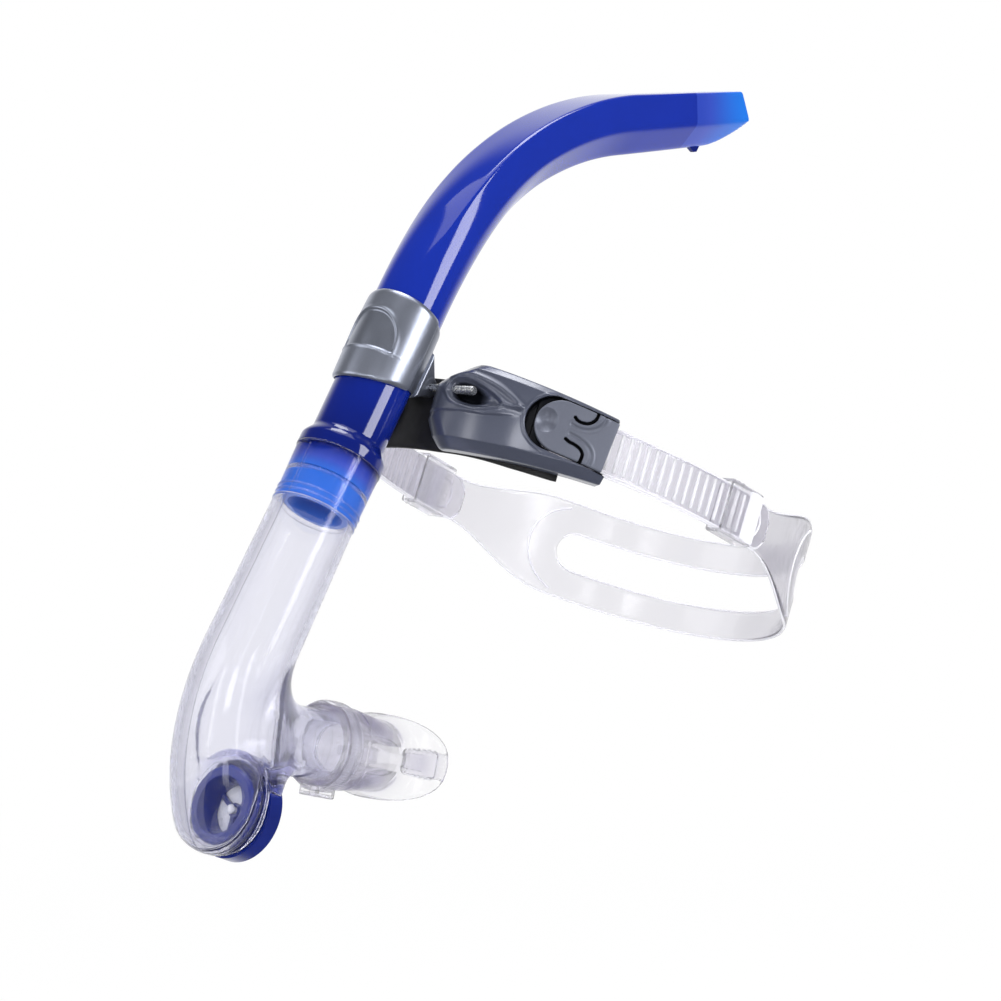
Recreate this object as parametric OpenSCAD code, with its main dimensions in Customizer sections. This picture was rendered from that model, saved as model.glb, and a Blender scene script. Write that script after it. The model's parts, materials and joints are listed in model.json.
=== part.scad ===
// Centre-mount swim snorkel with its forehead bracket and head strap.
// Millimetres. +Z is up, the wearer looks along -Y, and +X is the wearer's left.
// The origin is the middle of the pad's face on the forehead.

/* [Upper tube] */
// Outside diameter of the tube where the clamp holds it
tube_od = 28.6; // [24:0.2:34]
// Wall of the upper tube
tube_wall = 2; // [1.2:0.1:3]
// Backward lean of the tube at the clamp, degrees from vertical
tube_lean = 35; // [25:1:45]
// Straight length from the clamp's middle up to the bend
bend_start = 20.5; // [19:0.5:40]
// Radius of the bend's centre line
bend_radius = 158; // [120:1:200]
// Angle that the bend turns through
bend_angle = 52.5; // [40:0.5:60]
// Straight run from the bend to the open end
tip_run = 71; // [50:1:110]
// Width of the open end
tip_w = 22.5; // [18:0.5:28]
// Height of the faceted section at the bend's end
bend_h = 25; // [20:0.5:30]
// Height of the faceted section near the open end
tip_h = 21.5; // [18:0.5:28]
// Length over which the underside curls up to the open end
curl_len = 21; // [15:1:45]
// Sharpness of the facets' edges
facet_crisp = 16; // [8:1:24]
// Length of the spigot inside the lower body's socket
spigot_len = 24; // [16:1:32]
// Length of the flare above the socket
flare_len = 8; // [5:0.5:14]

/* [Lower body] */
// Distance from the clamp's middle down the tube to the socket's rim
socket_drop = 48.6; // [42:0.2:60]
// Wall of the clear lower body
body_wall = 2.6; // [1.8:0.1:3.4]
// Straight length of the lower body below the socket
body_run = 62; // [50:1:70]
// Radius of the lower body's bend
body_bend_radius = 68; // [60:1:80]
// Angle that the lower body turns through
body_bend_angle = 50; // [46:1:52]
// Outside radius of the bulb at the bottom
bulb_r = 20.6; // [20.2:0.2:22]
// Length of the bulb's round end
bulb_end = 16; // [14:0.5:20]

/* [Mouthpiece port] */
// Outside diameter of the port
port_od = 26.4; // [22:0.2:28]
// Bore of the port
port_bore = 19; // [16:0.2:19.6]
// Downward slope of the port towards the mouth, degrees
port_slope = 15; // [8:1:20]
// Distance along the lower body's bend from its start to the port's axis, degrees of bend
port_turn = 22.9; // [20:0.1:23.4]
// Length from the lower body's centre line to the port's end
port_reach = 58; // [50:1:64]
// Length of the flared root of the port
port_root = 34; // [26:1:38]

/* [Purge valve] */
// Downward slope of the purge valve's axis, degrees
purge_drop = 22; // [10:1:35]
// Height of the seat's window above the end of the lower body's bend
purge_rise = 3.3; // [1.5:0.1:4]
// Distance of the seat's window in front of the end of the lower body's bend
purge_fore = 5; // [4:0.1:6]
// Radius of the seat's barrel
seat_r = 15.2; // [14.2:0.1:15.4]
// Radius of the seat's window
window_r = 11.2; // [9:0.1:12]
// Length of the seat's barrel
seat_len = 13; // [11:0.2:16]
// Radius of the outer cap
cap_r = 18.6; // [18.2:0.1:18.8]
// Thickness of the outer cap
cap_t = 3.4; // [2:0.1:5]
// Number of spokes that carry the membrane
spokes = 3; // [3:1:5]
// Lift of the membrane off its seat
membrane_lift = 1.2; // [0.6:0.1:1.6]

/* [Mouthpiece] */
// Length of the soft sleeve and neck
sleeve_len = 32; // [26:1:42]
// Wall of the soft sleeve over the port
sleeve_wall = 2.3; // [1.6:0.1:3]
// Length of the port inside the sleeve
sleeve_grip = 9; // [7:0.5:14]
// Width of the lip flange
flange_w = 58; // [48:1:66]
// Height of the lip flange
flange_h = 33; // [28:0.5:40]
// Thickness of the lip flange
flange_t = 2; // [1.4:0.1:3]
// Radius of the flange's curve round the teeth
flange_curve = 48; // [40:1:70]
// Length of the bite tabs behind the flange
tab_len = 12; // [8:0.5:16]
// Width of the tie round the sleeve
tie_w = 7; // [4:0.2:9]
// Thickness of the tie
tie_t = 1.5; // [0.8:0.1:2.2]

/* [Tube clamp] */
// Wall of the clamp's ring
clamp_wall = 1.7; // [1.4:0.1:2.4]
// Height of the ring's top edge above the clamp's middle
clamp_top = 15; // [12:0.5:16]
// Depth of the ring's bottom edge below the clamp's middle
clamp_low = 17.2; // [14:0.2:19]
// Slant of the ring's bottom edge down towards the front, degrees
clamp_slant = 16; // [0:1:18]
// Width of the thumb recess
recess_w = 24.6; // [16:0.2:28]
// Height of the thumb recess
recess_h = 15.8; // [10:0.2:18]
// Depth of the thumb recess's lower edge below the clamp's middle
recess_low = 7.7; // [5:0.1:9]
// Depth of the thumb recess
recess_depth = 0.6; // [0.3:0.1:0.9]
// Distance from the tube's axis back to the hinge axle
foot_reach = 21.3; // [21:0.1:24]
// Distance of the hinge axle below the clamp's middle
foot_drop = 3.9; // [0:0.1:7]
// Diameter of the axle pin
axle_d = 3.2; // [2.4:0.1:4]
// Outside radius of the hinge knuckle
knuckle_r = 3.7; // [3.2:0.1:4]
// Width of the hinge foot
foot_w = 15; // [10:0.5:16]
// Length of the axle pin
axle_len = 60; // [52:1:66]

/* [Head band] */
// Width of the head inside the band
head_w = 156; // [140:1:170]
// Length of the head inside the band
head_l = 208; // [190:1:220]
// Downward tilt of the band towards the back, degrees
band_tilt = 25; // [15:1:32]
// Distance of the axle in front of the forehead
axle_fwd = 7; // [6.8:0.1:9]
// Height of the axle above the band's middle
axle_rise = 7.2; // [4:0.2:10]
// Thickness of the forehead pad
pad_t = 2.8; // [1.6:0.1:2.9]
// Height of the forehead pad below the band's middle
pad_low = 16; // [14:0.5:20]
// Angle round the head where the pad ends
pad_turn = 34; // [30:0.5:34]

/* [Wings] */
// Angle round the head where a wing's nose starts
wing_start = 6.5; // [6.5:0.5:8]
// Angle round the head where a wing ends
wing_end = 51; // [49:0.5:56]
// Depth of a wing from the head to its face
wing_depth = 12.6; // [12.2:0.1:15]
// Height of a wing's peak above the band's middle
wing_peak = 19.6; // [17:0.2:24]
// Height of a wing's top behind its nose
wing_top_in = 15; // [13.6:0.2:17]
// Height of a wing's top at its outer end
wing_top_out = 13.6; // [13.4:0.2:16]
// Depth of a wing's bottom behind its nose
wing_low_in = 16; // [14:0.2:19]
// Depth of a wing's bottom at its outer end
wing_low_out = 13; // [12:0.2:16]
// Angle round the head of the wing's peak
wing_peak_turn = 17; // [14:0.5:22]

/* [Release levers] */
// Angle round the head where a lever's round end starts
lever_start = 33; // [31.5:0.5:35]
// Width of a lever
lever_w = 20.6; // [18:0.2:22]
// Thickness of a lever
lever_t = 2.4; // [1.8:0.1:2.6]
// Finger gap in front of a lever's round end
lever_gap = 3.2; // [1.5:0.1:4]
// Angle round the head of a lever's pivot
lever_pivot = 42.5; // [41:0.5:44]
// Radius of a lever's stub axles
stub_r = 1.3; // [1:0.05:1.5]
// Angle round the head of a lever's pawl
lever_pawl = 47.5; // [46.5:0.25:48.5]

/* [Strap] */
// Width of the strap through the wings
strap_w = 18.6; // [14:0.2:19.4]
// Thickness of the strap
strap_t = 1.6; // [1.2:0.1:2]
// Height of the strap's middle above the band's middle
strap_rise = 1.2; // [0:0.2:2]
// Height of the strap's ribs
rib_h = 0.7; // [0.4:0.1:0.9]
// Angle round the head from one rib to the next
rib_turn = 2.3; // [2:0.1:3]
// Clearance of the strap above the head
strap_off = 1.8; // [1.7:0.1:2.6]
// Angle round the head where the strap's tail ends
tail_end = 99; // [97:0.5:104]
// Height of the yoke at the back of the head
yoke_h = 42; // [36:0.5:50]
// Height of the opening in the yoke
yoke_gap = 16; // [8:0.5:18]
// Angle round the head where the yoke's opening starts
yoke_open = 128; // [124:1:140]
// Diameter of the bar that the strap folds round
bar_d = 2.6; // [2:0.1:2.8]
// Length of a strap keeper along the strap
keeper_len = 20; // [12:0.5:22]
// Wall of a strap keeper
keeper_wall = 1.3; // [1:0.1:1.5]
// Angle round the head of a keeper's middle
keeper_turn = 87.5; // [85:0.5:89]
// Travel of a keeper each way along the strap
keeper_travel = 3; // [1:0.5:4]

/* [Fits] */
// Gap between the tube and the clamp's bore
slide_gap = 0.3; // [0.2:0.05:0.5]
// Running clearance of a pin in its hole
run_gap = 0.06; // [0.02:0.01:0.1]
// Clearance between pieces that only lie together
lie_gap = 0.35; // [0.25:0.05:0.5]
// Clearance of a pressed or seated piece
seat_gap = 0.1; // [0.05:0.01:0.2]

/* [Hidden] */

// Colours of the pieces
cobalt = "#1a2fb0";
clear = [0.85, 0.87, 0.95, 0.45];
soft_clear = [0.92, 0.92, 0.96, 0.5];
silver_grey = "#8d9198";
slate_grey = "#545965";
black_rubber = "#18191c";
steel = "#c9ccd0";

// Smoothness of the round and of the swept pieces
$fn = 64;
tube_sides = 40;
body_sides = 32;
bend_rings = 18;
curl_rings = 6;
eps = 0.02;

// Mixes and curves
function mix(a, b, t) = a + (b - a) * t;
function unit(t) = min(1, max(0, t));
function ease(t) = let (u = unit(t)) u * u * (3 - 2 * u);
function mean(points) = [for (i = [0:2]) sum([for (p = points) p[i]]) / len(points)];
function sum(list, i = 0) = i < len(list) ? list[i] + sum(list, i + 1) : 0;

// Frame of the band: its y runs back along the tilted band, its z is square to it
function from_band(p) = [
    p.x,
    p.y * cos(band_tilt) + p.z * sin(band_tilt),
    p.z * cos(band_tilt) - p.y * sin(band_tilt),
];
module at_band() rotate([-band_tilt, 0, 0]) children();

// Frame of the clamp: its z runs up the tube, its y towards the head
axle = from_band([0, -axle_fwd, axle_rise]);
function along(h) = [0, sin(h), cos(h)];
function behind(h) = [0, cos(h), -sin(h)];
clamp_mid = axle - foot_reach * behind(tube_lean) + foot_drop * along(tube_lean);
module at_clamp() translate(clamp_mid) rotate([-tube_lean, 0, 0]) children();

// Faces of skins over rings of n points: between k rings, over an end, and between two rims
function skin(n, k, first = 0) = [for (i = [0:k - 2]) for (j = [0:n - 1])
    let (a = first + i * n + j, b = first + i * n + (j + 1) % n)
    each [[a, b, b + n], [a, b + n, a + n]]];
function fan(n, first, hub) = [for (j = [0:n - 1]) [hub, first + j, first + (j + 1) % n]];
function rim(n, one, two) = [for (j = [0:n - 1])
    let (k = (j + 1) % n)
    each [[one + j, one + k, two + k], [one + j, two + k, two + j]]];
function turned(faces) = [for (f = faces) [f[2], f[1], f[0]]];

// A hollow solid between outer and inner rings of points, open at both ends
module pipe(outer, inner) {
    n = len(outer[0]);
    k = len(outer);
    last = n * (k - 1);
    polyhedron(
        concat([for (r = outer) each r], [for (r = inner) each r]),
        concat(
            skin(n, k),
            turned(skin(n, k, n * k)),
            turned(rim(n, 0, n * k)),
            rim(n, last, n * k + last)
        )
    );
}

// A solid skinned over rings of points, closed by a fan at each end
module loft(rings) {
    n = len(rings[0]);
    k = len(rings);
    polyhedron(
        concat([for (r = rings) each r], [mean(rings[0]), mean(rings[k - 1])]),
        concat(
            skin(n, k),
            turned(fan(n, 0, n * k)),
            fan(n, n * (k - 1), n * k + 1)
        )
    );
}

// Centre line of the upper tube, s millimetres up from the clamp's middle
bend_len = bend_radius * bend_angle * PI / 180;
tip_s = bend_start + bend_len + tip_run;
function tube_heading(s) = tube_lean + bend_angle * unit((s - bend_start) / bend_len);
function tube_point(s) =
    let (
        h = tube_heading(s),
        bend = [0, cos(tube_lean) - cos(h), sin(h) - sin(tube_lean)],
        past = max(0, s - bend_start - bend_len)
    )
    clamp_mid + min(s, bend_start) * along(tube_lean) + bend_radius * bend + past * along(h);

// Section of the upper tube: round at the clamp, faceted towards the open end
function facets(w, h) =
    let (keel = (w + 2 * facet_rise) / 2 * sqrt(0.5))
    [[90, h / 2], [0, w / 2], [180, w / 2], [-45, keel], [-135, keel], [-90, h / 2]];
function facet_radius(a, list) =
    pow(sum([for (f = list) pow(max(0, cos(a - f[0])) / f[1], facet_crisp)]), -1 / facet_crisp);
facet_rise = 1.5;
facet_run = 95;
end_slant = 0.37;
function facet_share(s) = ease((s - bend_start) / facet_run);
function tube_h(s) = mix(bend_h, tip_h, unit((s - bend_start - bend_len) / tip_run));
function tube_radius(a, s, cut) =
    mix(
        tube_od / 2,
        facet_radius(a, facets(mix(tube_od, tip_w, facet_share(s)), tube_h(s))),
        facet_share(s)
    ) - cut;
function curl(s) = pow(unit((s - tip_s + curl_len) / curl_len), 2);
function tube_ring(s, cut, lug = 0) = [for (j = [0:tube_sides - 1])
    let (
        a = 360 * j / tube_sides,
        r = tube_radius(a, s, cut) + (a == 270 ? lug : 0),
        low = mix(-tube_h(s) / 2, -facet_rise, curl(s)) + cut,
        n = curl(s) > 0 ? max(r * sin(a), low) : r * sin(a),
        lead = end_slant * curl(s) * n
    )
    tube_point(s) + [r * cos(a), 0, 0] - n * behind(tube_heading(s)) - lead * along(tube_heading(s))];
function round_ring(s, r) = [for (j = [0:tube_sides - 1])
    let (a = 360 * j / tube_sides)
    tube_point(s) + [r * cos(a), 0, 0] - r * sin(a) * behind(tube_heading(s))];

// Socket joint between the upper tube and the lower body
socket_wall = 3.1;
spigot_step = 0.4;
socket_r = tube_od / 2 - spigot_step;
spigot_r = socket_r - seat_gap;
spigot_wall = 2.6;
flare_r = socket_r + socket_wall;
spigot_end = -socket_drop - spigot_len;
groove_w = 1.8;
groove_depth = 1.3;
flare_land = 0.3;
groove_s = spigot_end + spigot_len / 2;

// Lug under the open end that lets the last water drip clear
lug_len = 6;
lug_h = 2;

module upper_tube() {
    // Each station of the round part is a place along the tube, its outside radius and its wall
    lower = [
        [spigot_end, spigot_r, spigot_wall],
        [groove_s - groove_w / 2, spigot_r, spigot_wall],
        [groove_s - groove_w / 2 + eps, spigot_r - groove_depth, spigot_wall - groove_depth],
        [groove_s + groove_w / 2 - eps, spigot_r - groove_depth, spigot_wall - groove_depth],
        [groove_s + groove_w / 2, spigot_r, spigot_wall],
        [-socket_drop, spigot_r, spigot_wall],
        [-socket_drop + eps, flare_r, flare_r - spigot_r + spigot_wall],
        [-socket_drop + flare_len * flare_land, flare_r, flare_r - tube_od / 2 + tube_wall],
        [-socket_drop + flare_len, tube_od / 2, tube_wall],
    ];
    // Each station of the faceted part is a place along the tube and the height of the lug there
    lug_s = tip_s - curl_len;
    upper = concat(
        [for (i = [0:bend_rings]) [mix(bend_start, bend_start + bend_len, i / bend_rings), 0]],
        [[mix(bend_start + bend_len, lug_s, 0.5), 0]],
        [[lug_s - lug_len, 0], [lug_s - lug_len / 2, lug_h], [lug_s - lug_len / 4, lug_h]],
        [for (i = [0:curl_rings]) [mix(lug_s, tip_s, i / curl_rings), 0]]
    );
    color(cobalt) pipe(
        concat([for (p = lower) round_ring(p[0], p[1])], [for (p = upper) tube_ring(p[0], 0, p[1])]),
        concat([for (p = lower) round_ring(p[0], p[1] - p[2])], [for (p = upper) tube_ring(p[0], tube_wall)])
    );
}

// Soft ring in the spigot's groove
seal_section = 0.62;
module joint_seal() {
    color(soft_clear) at_clamp() translate([0, 0, groove_s])
        rotate_extrude()
            translate([socket_r - seat_gap / 2 - seal_section, 0])
                circle(seal_section, $fn = 24);
}

// Centre line of the lower body, s millimetres down from the socket's rim
body_bend_start = spigot_len + body_run;
body_bend_len = body_bend_radius * body_bend_angle * PI / 180;
body_end = body_bend_start + body_bend_len;
function body_heading(s) =
    tube_lean - body_bend_angle / body_bend_len * max(0, min(s, body_end) - body_bend_start);
function body_point(s) =
    let (
        h = body_heading(s),
        bend = [0, cos(tube_lean) - cos(h), sin(h) - sin(tube_lean)],
        past = max(0, s - body_end)
    )
    clamp_mid - (socket_drop + min(s, body_bend_start)) * along(tube_lean)
        + body_bend_radius * bend - past * along(h);

// Outside radius of the lower body: socket, slight waist, then the swelling bulb with a round end
waist_r = 16.4;
swell_r = 17.5;
function body_radius(s) =
    s <= spigot_len ? mix(flare_r, waist_r, s / spigot_len) :
    s <= body_bend_start ? mix(waist_r, swell_r, (s - spigot_len) / body_run) :
    s <= body_end ? mix(swell_r, bulb_r, ease((s - body_bend_start) / body_bend_len)) :
    bulb_r * sqrt(max(0, 1 - pow((s - body_end) / bulb_end, 2)));
function body_ring(s, q, phase = 0) = [for (j = [0:body_sides - 1])
    let (a = 360 * (j + phase) / body_sides)
    body_point(s) + [q * cos(a), 0, 0] + q * sin(a) * behind(body_heading(s))];

// Places along the lower body below its socket, the last ones round the bulb's end
body_bend_rings = 9;
bulb_rings = 6;
bulb_reach = 0.985;
function body_stops(cut) = concat(
    [mix(spigot_len, body_bend_start, 0.5)],
    [for (i = [0:body_bend_rings]) mix(body_bend_start, body_end, i / body_bend_rings)],
    [for (i = [1:bulb_rings]) body_end + (bulb_end - cut) * sin(90 * i / bulb_rings) * bulb_reach]
);
function body_inside(s, cut) = s <= body_end ? body_radius(s) - cut :
    (bulb_r - cut) * sqrt(max(0, 1 - pow((s - body_end) / (bulb_end - cut), 2)));

// Frame of the port: its z runs towards the mouth
port_root_s = body_bend_start + body_bend_len * port_turn / body_bend_angle;
module at_port() translate(body_point(port_root_s)) rotate([-90 - port_slope, 0, 0]) children();
root_flare = 3.6;

// Frame of the purge valve: its z runs out through the cap
purge_mid = body_point(body_end) + [0, -purge_fore, purge_rise];
module at_purge() translate(purge_mid) rotate([-90 - purge_drop, 0, 0]) children();
neck_wall = 2;
neck_r = seat_r + seat_gap + neck_wall;
neck_rib = 0.5;
neck_rib_w = 1;
neck_len = seat_len - 2;
clear_reach = 30;

// Air space of the lower body: the socket, the tube and the chamber in front of the purge well
module air_space() {
    half_side = 0.5;
    difference() {
        loft(concat(
            [for (s = [-1, spigot_len]) body_ring(s, socket_r, half_side)],
            [for (s = body_stops(body_wall)) body_ring(s, body_inside(s, body_wall), half_side)]
        ));
        at_purge() translate([0, 0, well_z - body_wall])
            cylinder(h = clear_reach, r = cap_r + lie_gap + body_wall);
    }
}

// Well round the purge valve's neck, which carries two ring ridges
well_z = 4;
function neck_ridge(z) = [
    [neck_r, z], [neck_r + neck_rib, z + neck_rib_w / 4],
    [neck_r + neck_rib, z + neck_rib_w * 3 / 4], [neck_r, z + neck_rib_w],
];
module purge_well() at_purge() rotate_extrude() polygon(concat(
    [[cap_r + lie_gap, clear_reach], [cap_r + lie_gap, well_z], [neck_r, well_z]],
    neck_ridge(well_z + neck_rib_w / 2),
    neck_ridge(well_z + neck_rib_w * 2),
    [[neck_r, neck_len], [0, neck_len], [0, clear_reach]]
));

module lower_body() {
    color(clear) difference() {
        union() {
            loft([for (s = concat([0, spigot_len], body_stops(0))) body_ring(s, body_radius(s))]);
            at_port() rotate_extrude() polygon([
                [0, 0], [port_od / 2 + root_flare, 0], [port_od / 2, port_root],
                [port_od / 2, port_reach], [0, port_reach],
            ]);
        }
        air_space();
        purge_well();
        at_port() cylinder(h = port_reach + 1, r = port_bore / 2);
        at_purge() translate([0, 0, -body_wall]) cylinder(h = clear_reach, r = seat_r + seat_gap);
    }
}

// Purge valve: seat with its spider, mushroom membrane, seal and outer cap
seat_flange_t = 1.2;
seat_bevel = 0.8;
seat_lip_r = neck_r - 0.4;
seat_floor = 8;
ledge_t = 1.8;
hub_r = 2.8;
stem_r = 1.2;
stem_gap = 0.3;
spoke_w = 2;
spoke_t = 1.2;
spoke_z = seat_floor + (ledge_t - spoke_t) / 2;
spoke_lap = 1.4;
throat_r = 9.6;
membrane_r = 11;
membrane_room = 1;
membrane_t = 0.7;
bulb_pin_r = 1.9;
bulb_pin_len = 1.6;
seal_r = 0.75;
seal_z = 5;
cap_skirt = 3;
cap_bevel = 1.4;
flap_room = 1.4;
flap_room_r = 12.6;
vents = 6;
vent_r = 3;
vent_ring_r = 7.8;

module purge_seat() {
    color(cobalt) at_purge() {
        rotate_extrude() polygon([
            [window_r, 0], [seat_r - seat_bevel, 0], [seat_r, seat_bevel],
            [seat_r, seal_z - seal_r - seat_gap], [seat_r - 2 * seal_r, seal_z - seal_r - seat_gap],
            [seat_r - 2 * seal_r, seal_z + seal_r + seat_gap], [seat_r, seal_z + seal_r + seat_gap],
            [seat_r, neck_len], [seat_lip_r, neck_len], [seat_lip_r, neck_len + seat_flange_t],
            [membrane_r + membrane_room, neck_len + seat_flange_t],
            [membrane_r + membrane_room, seat_floor + ledge_t],
            [throat_r, seat_floor + ledge_t], [throat_r, seat_floor],
        ]);
        difference() {
            union() {
                translate([0, 0, spoke_z]) cylinder(h = spoke_t, r = hub_r);
                for (i = [0:spokes - 1]) rotate(360 / spokes * i + 90) translate([0, -spoke_w / 2, spoke_z])
                    cube([throat_r + spoke_lap, spoke_w, spoke_t]);
            }
            translate([0, 0, spoke_z - spoke_t]) cylinder(h = 3 * spoke_t, r = stem_r + stem_gap);
        }
    }
}

module purge_seal() {
    color(black_rubber) at_purge() translate([0, 0, seal_z])
        rotate_extrude() translate([seat_r + seat_gap / 2 - seal_r, 0]) circle(seal_r, $fn = 24);
}

module purge_membrane() {
    disc_z = seat_floor + ledge_t + lie_gap;
    bead_z = spoke_z - membrane_lift - lie_gap;
    color(soft_clear) at_purge() rotate_extrude() polygon([
        [0, bead_z - bulb_pin_len], [bulb_pin_r, bead_z - bulb_pin_len / 2], [bulb_pin_r, bead_z],
        [stem_r, bead_z], [stem_r, disc_z], [membrane_r, disc_z],
        [membrane_r, disc_z + membrane_t / 2], [hub_r, disc_z + membrane_t], [0, disc_z + membrane_t],
    ]);
}

module purge_cap() {
    roof = neck_len + seat_flange_t + seat_gap;
    color(cobalt) at_purge() difference() {
        rotate_extrude() polygon([
            [0, neck_len - cap_skirt], [cap_r, neck_len - cap_skirt], [cap_r, roof + cap_t - cap_bevel],
            [cap_r - cap_bevel, roof + cap_t], [0, roof + cap_t],
        ]);
        translate([0, 0, neck_len - 2 * cap_skirt])
            cylinder(h = roof - neck_len + 2 * cap_skirt, r = neck_r + seat_gap);
        translate([0, 0, roof - cap_skirt]) cylinder(h = cap_skirt + flap_room, r = flap_room_r);
        for (i = [0:vents - 1]) rotate(360 / vents * i) translate([vent_ring_r, 0, 0])
            cylinder(h = clear_reach, r = vent_r);
        cylinder(h = clear_reach, r = vent_r);
    }
}

// Mouthpiece, in the port's frame
sleeve_start = port_reach - sleeve_grip;
sleeve_r = port_od / 2 + seat_gap + sleeve_wall;
flange_z = sleeve_start + sleeve_len;
neck_bore_w = 22;
neck_bore_h = 14;
tab_w = 18;
tab_gap = 16;
tab_t = 4;
tab_ridge = 10;
tab_ridge_t = 3;
tab_teeth = 5;
tooth_r = 0.7;
oval_power = 2.6;
function lip(w, h) = [for (j = [0:47]) let (
        a = 7.5 * j,
        k = pow(pow(abs(cos(a)), oval_power) + pow(abs(sin(a)), oval_power), -1 / oval_power)
    ) [w / 2 * k * cos(a), h / 2 * k * sin(a)]];

module bite_tab() {
    back = flange_z + flange_t + pow(tab_gap / 2 + tab_w / 2, 2) / 2 / flange_curve;
    translate([tab_gap / 2, -tab_t / 2, flange_z]) cube([tab_w, tab_t, back - flange_z + tab_len]);
    translate([tab_gap / 2, -tab_ridge / 2, back + tab_len - tab_ridge_t])
        cube([tab_w, tab_ridge, tab_ridge_t]);
    for (side = [-1, 1]) for (i = [0:tab_teeth - 1])
        translate([
            tab_gap / 2 + tab_w * (i + 0.5) / tab_teeth,
            side * tab_ridge / 2,
            back + tab_len - tab_ridge_t
        ])
        cylinder(h = tab_ridge_t, r = tooth_r, $fn = 20);
}

module mouthpiece() {
    color(soft_clear) at_port() difference() {
        union() {
            translate([0, 0, sleeve_start]) cylinder(h = sleeve_len + flange_t / 2, r = sleeve_r);
            intersection() {
                translate([0, 0, flange_z + flange_curve]) rotate([90, 0, 0]) difference() {
                    cylinder(h = flange_h, r = flange_curve, center = true, $fn = 128);
                    cylinder(h = flange_h + 1, r = flange_curve - flange_t, center = true, $fn = 128);
                }
                translate([0, 0, flange_z - 1])
                    linear_extrude(flange_curve / 2)
                        polygon(lip(flange_w, flange_h));
            }
            bite_tab();
            mirror([1, 0, 0]) bite_tab();
        }
        translate([0, 0, sleeve_start - 1]) cylinder(h = sleeve_grip + 1, r = port_od / 2 + seat_gap);
        translate([0, 0, port_reach - eps])
            cylinder(h = neck_mid - port_reach + eps, r1 = port_bore / 2, r2 = sleeve_r - sleeve_wall);
        translate([0, 0, neck_mid - eps])
            cylinder(h = flange_z - neck_mid - lip_wall, r1 = sleeve_r - sleeve_wall, r2 = neck_bore_w / 2);
        translate([0, 0, neck_mid]) linear_extrude(sleeve_len) polygon(lip(neck_bore_w, neck_bore_h));
    }
}
neck_mid = mix(port_reach, flange_z, 0.55);
lip_wall = 3;

// Tie round the sleeve, with its lock under the port
lock_len = 11;
lock_w = 9;
lock_h = 4;
module mouthpiece_tie() {
    mid = sleeve_start + sleeve_grip / 2;
    color(soft_clear) at_port() difference() {
        union() {
            translate([0, 0, mid - tie_w / 2]) cylinder(h = tie_w, r = sleeve_r + seat_gap + tie_t);
            translate([-lock_w / 2, sleeve_r, mid - lock_len / 2]) cube([lock_w, lock_h, lock_len]);
        }
        translate([0, 0, mid - lock_len]) cylinder(h = 2 * lock_len, r = sleeve_r + seat_gap);
    }
}

// Clamp ring with its thumb recess and hinge foot
clamp_r = tube_od / 2 + slide_gap;
ring_r = clamp_r + clamp_wall;
foot_top = 8;
foot_low = -12;
foot_lap = 0.6;

module tube_clamp() {
    color(silver_grey) at_clamp() difference() {
        union() {
            difference() {
                translate([0, 0, -2 * clamp_low]) cylinder(h = 2 * clamp_low + clamp_top, r = ring_r);
                translate([0, 0, -clamp_low]) rotate([clamp_slant, 0, 0])
                    translate([-clear_reach, -clear_reach, -2 * clear_reach]) cube(2 * clear_reach);
                difference() {
                    translate([0, 0, -recess_low]) rotate([90, 0, 0]) linear_extrude(clear_reach)
                        intersection() {
                            polygon(lip(recess_w, 2 * recess_h));
                            translate([-recess_w, 0]) square([2 * recess_w, recess_h]);
                        }
                    translate([0, 0, -recess_low - 1]) cylinder(h = recess_h + 2, r = ring_r - recess_depth);
                }
            }
            translate([-foot_w / 2, 0, 0]) rotate([90, 0, 90]) linear_extrude(foot_w) polygon([
                [clamp_r + foot_lap, foot_low], [ring_r, foot_low],
                [foot_reach, -foot_drop - knuckle_r], [foot_reach, -foot_drop + knuckle_r],
                [ring_r, foot_top], [clamp_r + foot_lap, foot_top],
            ]);
            translate([-foot_w / 2, foot_reach, -foot_drop])
                rotate([0, 90, 0])
                    cylinder(h = foot_w, r = knuckle_r);
        }
        translate([0, 0, -3 * clamp_low]) cylinder(h = 6 * clamp_low, r = clamp_r);
        translate([-foot_w / 2 - 1, foot_reach, -foot_drop]) rotate([0, 90, 0])
            cylinder(h = foot_w + 2, r = axle_d / 2 + run_gap);
    }
}

// Steel axle with ringed ends
axle_grooves = 3;
axle_groove_w = 0.5;
axle_groove_pitch = 1.1;
axle_groove_depth = 0.2;
axle_step = 0.5;
module axle_pin() {
    color(steel) translate([0, axle.y, axle.z]) rotate([0, 90, 0]) difference() {
        union() {
            cylinder(h = axle_len - 2 * axle_step, r = axle_d / 2, center = true);
            cylinder(h = axle_len, r = axle_d / 2 - axle_step, center = true);
        }
        for (side = [-1, 1]) for (i = [1:axle_grooves])
            translate([0, 0, side * (axle_len / 2 - i * axle_groove_pitch)])
            rotate_extrude()
                translate([axle_d / 2 - axle_groove_depth, -axle_groove_w / 2])
                    square([1, axle_groove_w]);
    }
}

// Line of the head in the band's plane: t degrees round from the forehead, d millimetres off it
half_w = head_w / 2;
half_l = head_l / 2;
function head_normal(t) = let (n = [half_l * sin(t), -half_w * cos(t)]) n / norm(n);
function head_line(t, d) = [half_w * sin(t), half_l - half_l * cos(t)] + d * head_normal(t);
plan_steps = 14;
module plan(t0, t1, d0, d1) {
    near = [for (i = [0:plan_steps]) head_line(mix(t0, t1, i / plan_steps), d0)];
    far = [for (i = [plan_steps:-1:0]) head_line(mix(t0, t1, i / plan_steps), d1)];
    polygon(concat(near, far));
}
module wall(t0, t1, d0, d1, low, high) translate([0, 0, low]) linear_extrude(high - low) plan(t0, t1, d0, d1);

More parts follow.
